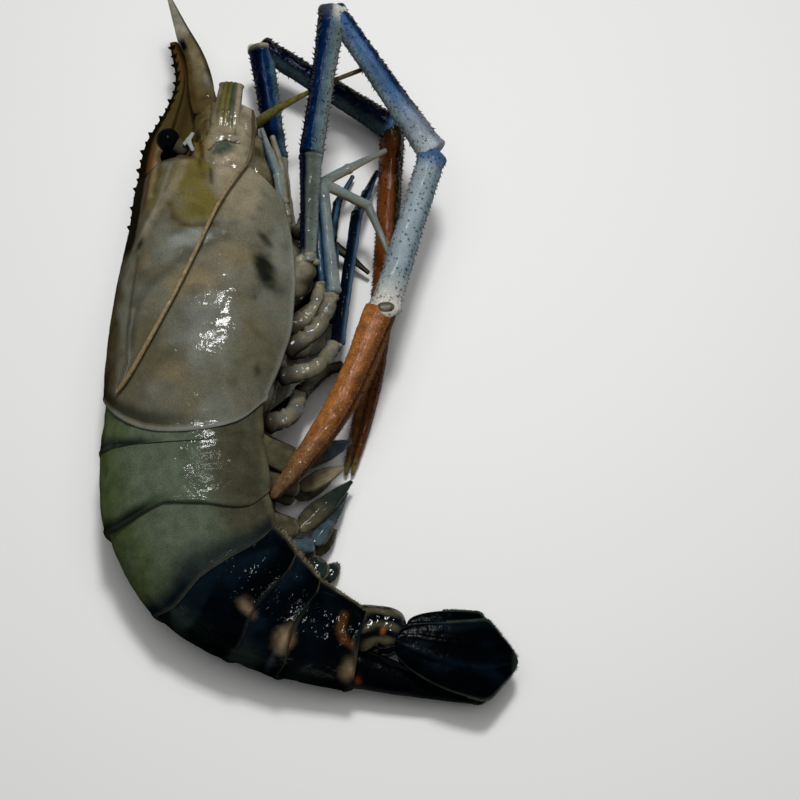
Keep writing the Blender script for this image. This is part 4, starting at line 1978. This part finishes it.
@dataclass
class Swimmerets:
    """The five pairs of leaf-shaped limbs under the tail rings."""
    hairs: int = 110
    stations: tuple[float, ...] = (9, 21, 37, 54, 68)
    pairs: tuple[tuple[Branch, Branch], ...] = (
        (Branch((-28.9, -24.5, 15.5), ((-13.9, -15.6, 9.0),), 3.9, 2.9, Tone.SWIM, Tone.SWIM_BLUE),
         Branch((-31.0, -24.0, 8.0), ((-19.6, -14.6, 3.0),), 3.2, 2.6)),
        (Branch((-28.3, -31.3, 13.5), ((-16.1, -23.3, 8.6),), 2.7, 2.4, Tone.SWIM, Tone.SWIM_TAN),
         Branch((-30.0, -32.0, 7.0), ((-20.0, -25.0, 2.4),), 2.8, 2.6)),
        (Branch((-28.4, -43.2, 12.5), ((-13.8, -26.9, 6.6),), 2.8, 2.6, Tone.SWIM, Tone.MOSS_GREY),
         Branch((-29.0, -41.0, 6.0), ((-19.0, -29.0, 2.2),), 2.6, 2.4)),
        (Branch((-24.2, -46.8, 10.6), ((-15.3, -29.4, 3.6), (-19.0, -38.7, 8.6)), 2.2, 2.2,
                Tone.SWIM_BLUE, Tone.SWIM_BLUE),
         Branch((-24.0, -48.0, 4.4), ((-18.6, -40.0, 2.0),), 2.4, 2.2)),
        (Branch((-25.0, -54.3, 9.6), ((-20.6, -51.3, 7.6),), 3.4, 3.4, Tone.MOSS_GREY, Tone.MOSS_GREY),
         Branch((-21.6, -55.6, 3.4), ((-17.6, -50.0, 2.0),), 2.4, 2.2, Tone.MOSS_GREY, Tone.MOSS_GREY)),
    )

    def build(self) -> None:
        """Make the five pairs."""
        for index, (station, pair) in enumerate(zip(self.stations, self.pairs)):
            sculpt = Sculpt()
            root = body_point(station, pi, 0, 1, TailRings.groove)
            _, _, back_x, back_y = spine(station)
            foot = root - 2.2 * Vector((back_x, back_y, 0))
            spread = 0.2 * read(STATIONS, station, 4)
            high, low = foot + Vector((0, 0, spread)), foot - Vector((0, 0, spread))
            bar = Route([high, low])
            half = limb_half(bar.lengths[-1], 1.8, 1.8)
            sculpt.tube(bar, half, half, self.tint(Tone.FLESH_DARK, Tone.SWIM), 16, 12)
            for start, branch in ((high, pair[0]), (low, pair[1])):
                self.stem(sculpt, start, branch)
                for turn, tip in enumerate(branch.tips):
                    self.leaf(sculpt, branch, Vector(tip), index * 4 + turn)
            publish(f"swimmerets_{index + 1}", sculpt, WET_FLESH, f"swimmeret_{index + 1}")

    @staticmethod
    def tint(first: Tone, last: Tone) -> Tint:
        """Give a colour function that runs from one tone to another, with a dark edge.

        Args:
            first: the tone at the root.
            last: the tone at the tip.

        Returns:
            The function.
        """
        def colour(share: float, turn: float, point: Vector) -> Colour:
            """Give the colour at a share."""
            tone = mix(first, last, smooth(share, 0.1, 0.7))
            blotch = smooth(noise(point * 0.35), 0.0, 0.5)
            tone = mix(tone, Tone.FLESH_DARK, 0.5 * blotch)
            tone = mix(tone, Tone.FLESH_DARK, 0.5 * smooth(abs(cos(turn)), 0.9, 1.0))
            return *tone, upward(turn, 0.2, 0.6)
        return colour

    def stem(self, sculpt: Sculpt, start: Vector, branch: Branch) -> None:
        """Add the flat stem of one side.

        Args:
            sculpt: the mesh.
            start: the stem's root.
            branch: its sizes and tones.
        """
        route = Route([start, branch.knee])
        half = limb_half(route.lengths[-1], branch.stem, branch.stem, 0.0)

        def relief(share: float, turn: float) -> float:
            """Give the rib and the waves."""
            return 0.35 * hump(turn, radians(105), 0.3) + 0.2 * ripple(share * 6, turn, 2)

        sculpt.tube(route, half, lambda share: half(share) / branch.stem * 1.6,
                    self.tint(Tone.SWIM, branch.stem_tone), 28, 30, relief)

    def leaf(self, sculpt: Sculpt, branch: Branch, tip: Vector, seed: int) -> None:
        """Add a leaf with a rib and a fringe of hair.

        Args:
            sculpt: the mesh.
            branch: its sizes and tones.
            tip: the leaf's tip.
            seed: the random draw's seed.
        """
        knee = Vector(branch.knee)
        bow = Vector((0, 0, 0.8))
        route = Route([knee, knee.lerp(tip, 0.5) + bow, tip])

        def wide(share: float) -> float:
            """Give the half width at a share."""
            return branch.leaf * max(0.3, sin(pi * (0.25 + 0.7 * share))) * blunt(share, 12)

        def relief(share: float, turn: float) -> float:
            """Give the rib."""
            return 0.4 * hump(turn, radians(95), 0.16) * sin(pi * clamp(share))

        sculpt.tube(route, wide, lambda share: 0.75 * min(1.0, wide(share) / 1.5),
                    self.tint(branch.stem_tone, branch.leaf_tone), 30, 40, relief)
        draw = random.Random(seed)
        for index in range(self.hairs):
            share = 0.15 + 0.84 * index / self.hairs
            for hand in (-1, 1):
                edge_hair(sculpt, route, wide, share, hand, (1.1 - share, 0.4 + share),
                          draw.uniform(0.4, 1.0), 0.08, Tone.SWIM)


# ---- studio
@dataclass
class Studio:
    """Floor, lights and camera."""
    camera_target: Vector = field(default_factory=lambda: -BOX_MIDDLE)
    camera_elevation: float = 71.0
    camera_distance: float = 480.0
    focal_length: float = 72.72
    sensor: float = 36.0
    floor_half: float = 3.0  # metres
    floor_tone: tuple[float, ...] = (0.8, 0.8, 0.79, 1.0)
    floor_rough: float = 0.6
    room_light: float = 0.05

    def build(self) -> None:
        """Set up the floor, the lights and the camera."""
        self.floor()
        self.light("overhead", (50, 176, 600), 0.09, 2.1)
        self.light("glint", (-10, 128, 600), 0.07, 0.9, True, False)
        self.light("fill", (60, 60, 900), 0.8, 3.9, False)
        world = bpy.data.worlds.new("soft_room")
        world.use_nodes = True
        background = world.node_tree.nodes["Background"]
        background.inputs["Color"].default_value = (1.0, 1.0, 1.0, 1.0)
        background.inputs["Strength"].default_value = self.room_light
        bpy.context.scene.world = world
        bpy.context.scene.view_settings.view_transform = "Standard"
        self.camera()

    def floor(self) -> None:
        """Make the pale floor."""
        bm = bmesh.new()
        bmesh.ops.create_grid(bm, x_segments=1, y_segments=1, size=self.floor_half)
        mesh = bpy.data.meshes.new("floor")
        bm.to_mesh(mesh)
        bm.free()
        floor = bpy.data.objects.new("floor", mesh)
        bpy.context.scene.collection.objects.link(floor)
        material = bpy.data.materials.new("pale_floor")
        material.use_nodes = True
        shader = material.node_tree.nodes["Principled BSDF"]
        shader.inputs["Base Color"].default_value = self.floor_tone
        shader.inputs["Roughness"].default_value = self.floor_rough
        mesh.materials.append(material)

    def light(self, name: str, place: Point, size: float, power: float, glossy: bool = True,
              lighting: bool = True) -> None:
        """Add a square light that faces the prawn.

        Args:
            name: the light's name.
            place: where it hangs, in millimetres from the prawn's middle.
            size: length of its side in metres.
            power: its power in watts.
            glossy: whether wet surfaces show its reflection.
            lighting: whether it lights matt surfaces.
        """
        data = bpy.data.lights.new(name, "AREA")
        data.shape = "SQUARE"
        data.size = size
        data.energy = power
        lamp = bpy.data.objects.new(name, data)
        lamp.location = Vector(place) * MM
        lamp.rotation_euler = (-lamp.location).to_track_quat("-Z", "Y").to_euler()
        lamp.visible_glossy = glossy
        lamp.visible_diffuse = lighting
        bpy.context.scene.collection.objects.link(lamp)

    def camera(self) -> None:
        """Add the camera, which looks down on the prawn."""
        data = bpy.data.cameras.new("camera")
        data.lens = self.focal_length
        data.sensor_width = self.sensor
        camera = bpy.data.objects.new("camera", data)
        rise = radians(self.camera_elevation)
        away = Vector((0, -cos(rise), sin(rise))) * self.camera_distance
        camera.location = (self.camera_target + away) * MM
        camera.rotation_euler = (pi / 2 - rise, 0, 0)
        bpy.context.scene.collection.objects.link(camera)
        bpy.context.scene.camera = camera


def main() -> None:
    """Build the prawn and its studio, and keep the two boxes."""
    logging.basicConfig(level=logging.INFO, format="%(name)s: %(message)s")
    ThoraxShell().build()
    Underside().build()
    TailRings().build()
    TailFan().build()
    Swimmerets().build()
    for side in ("right", "left"):
        Head(side).build()
    Feelers().build()
    for arm_or_leg in (*make_arms(), *make_legs()):
        arm_or_leg.build()
    Studio().build()


if __name__ == "__main__":
    main()
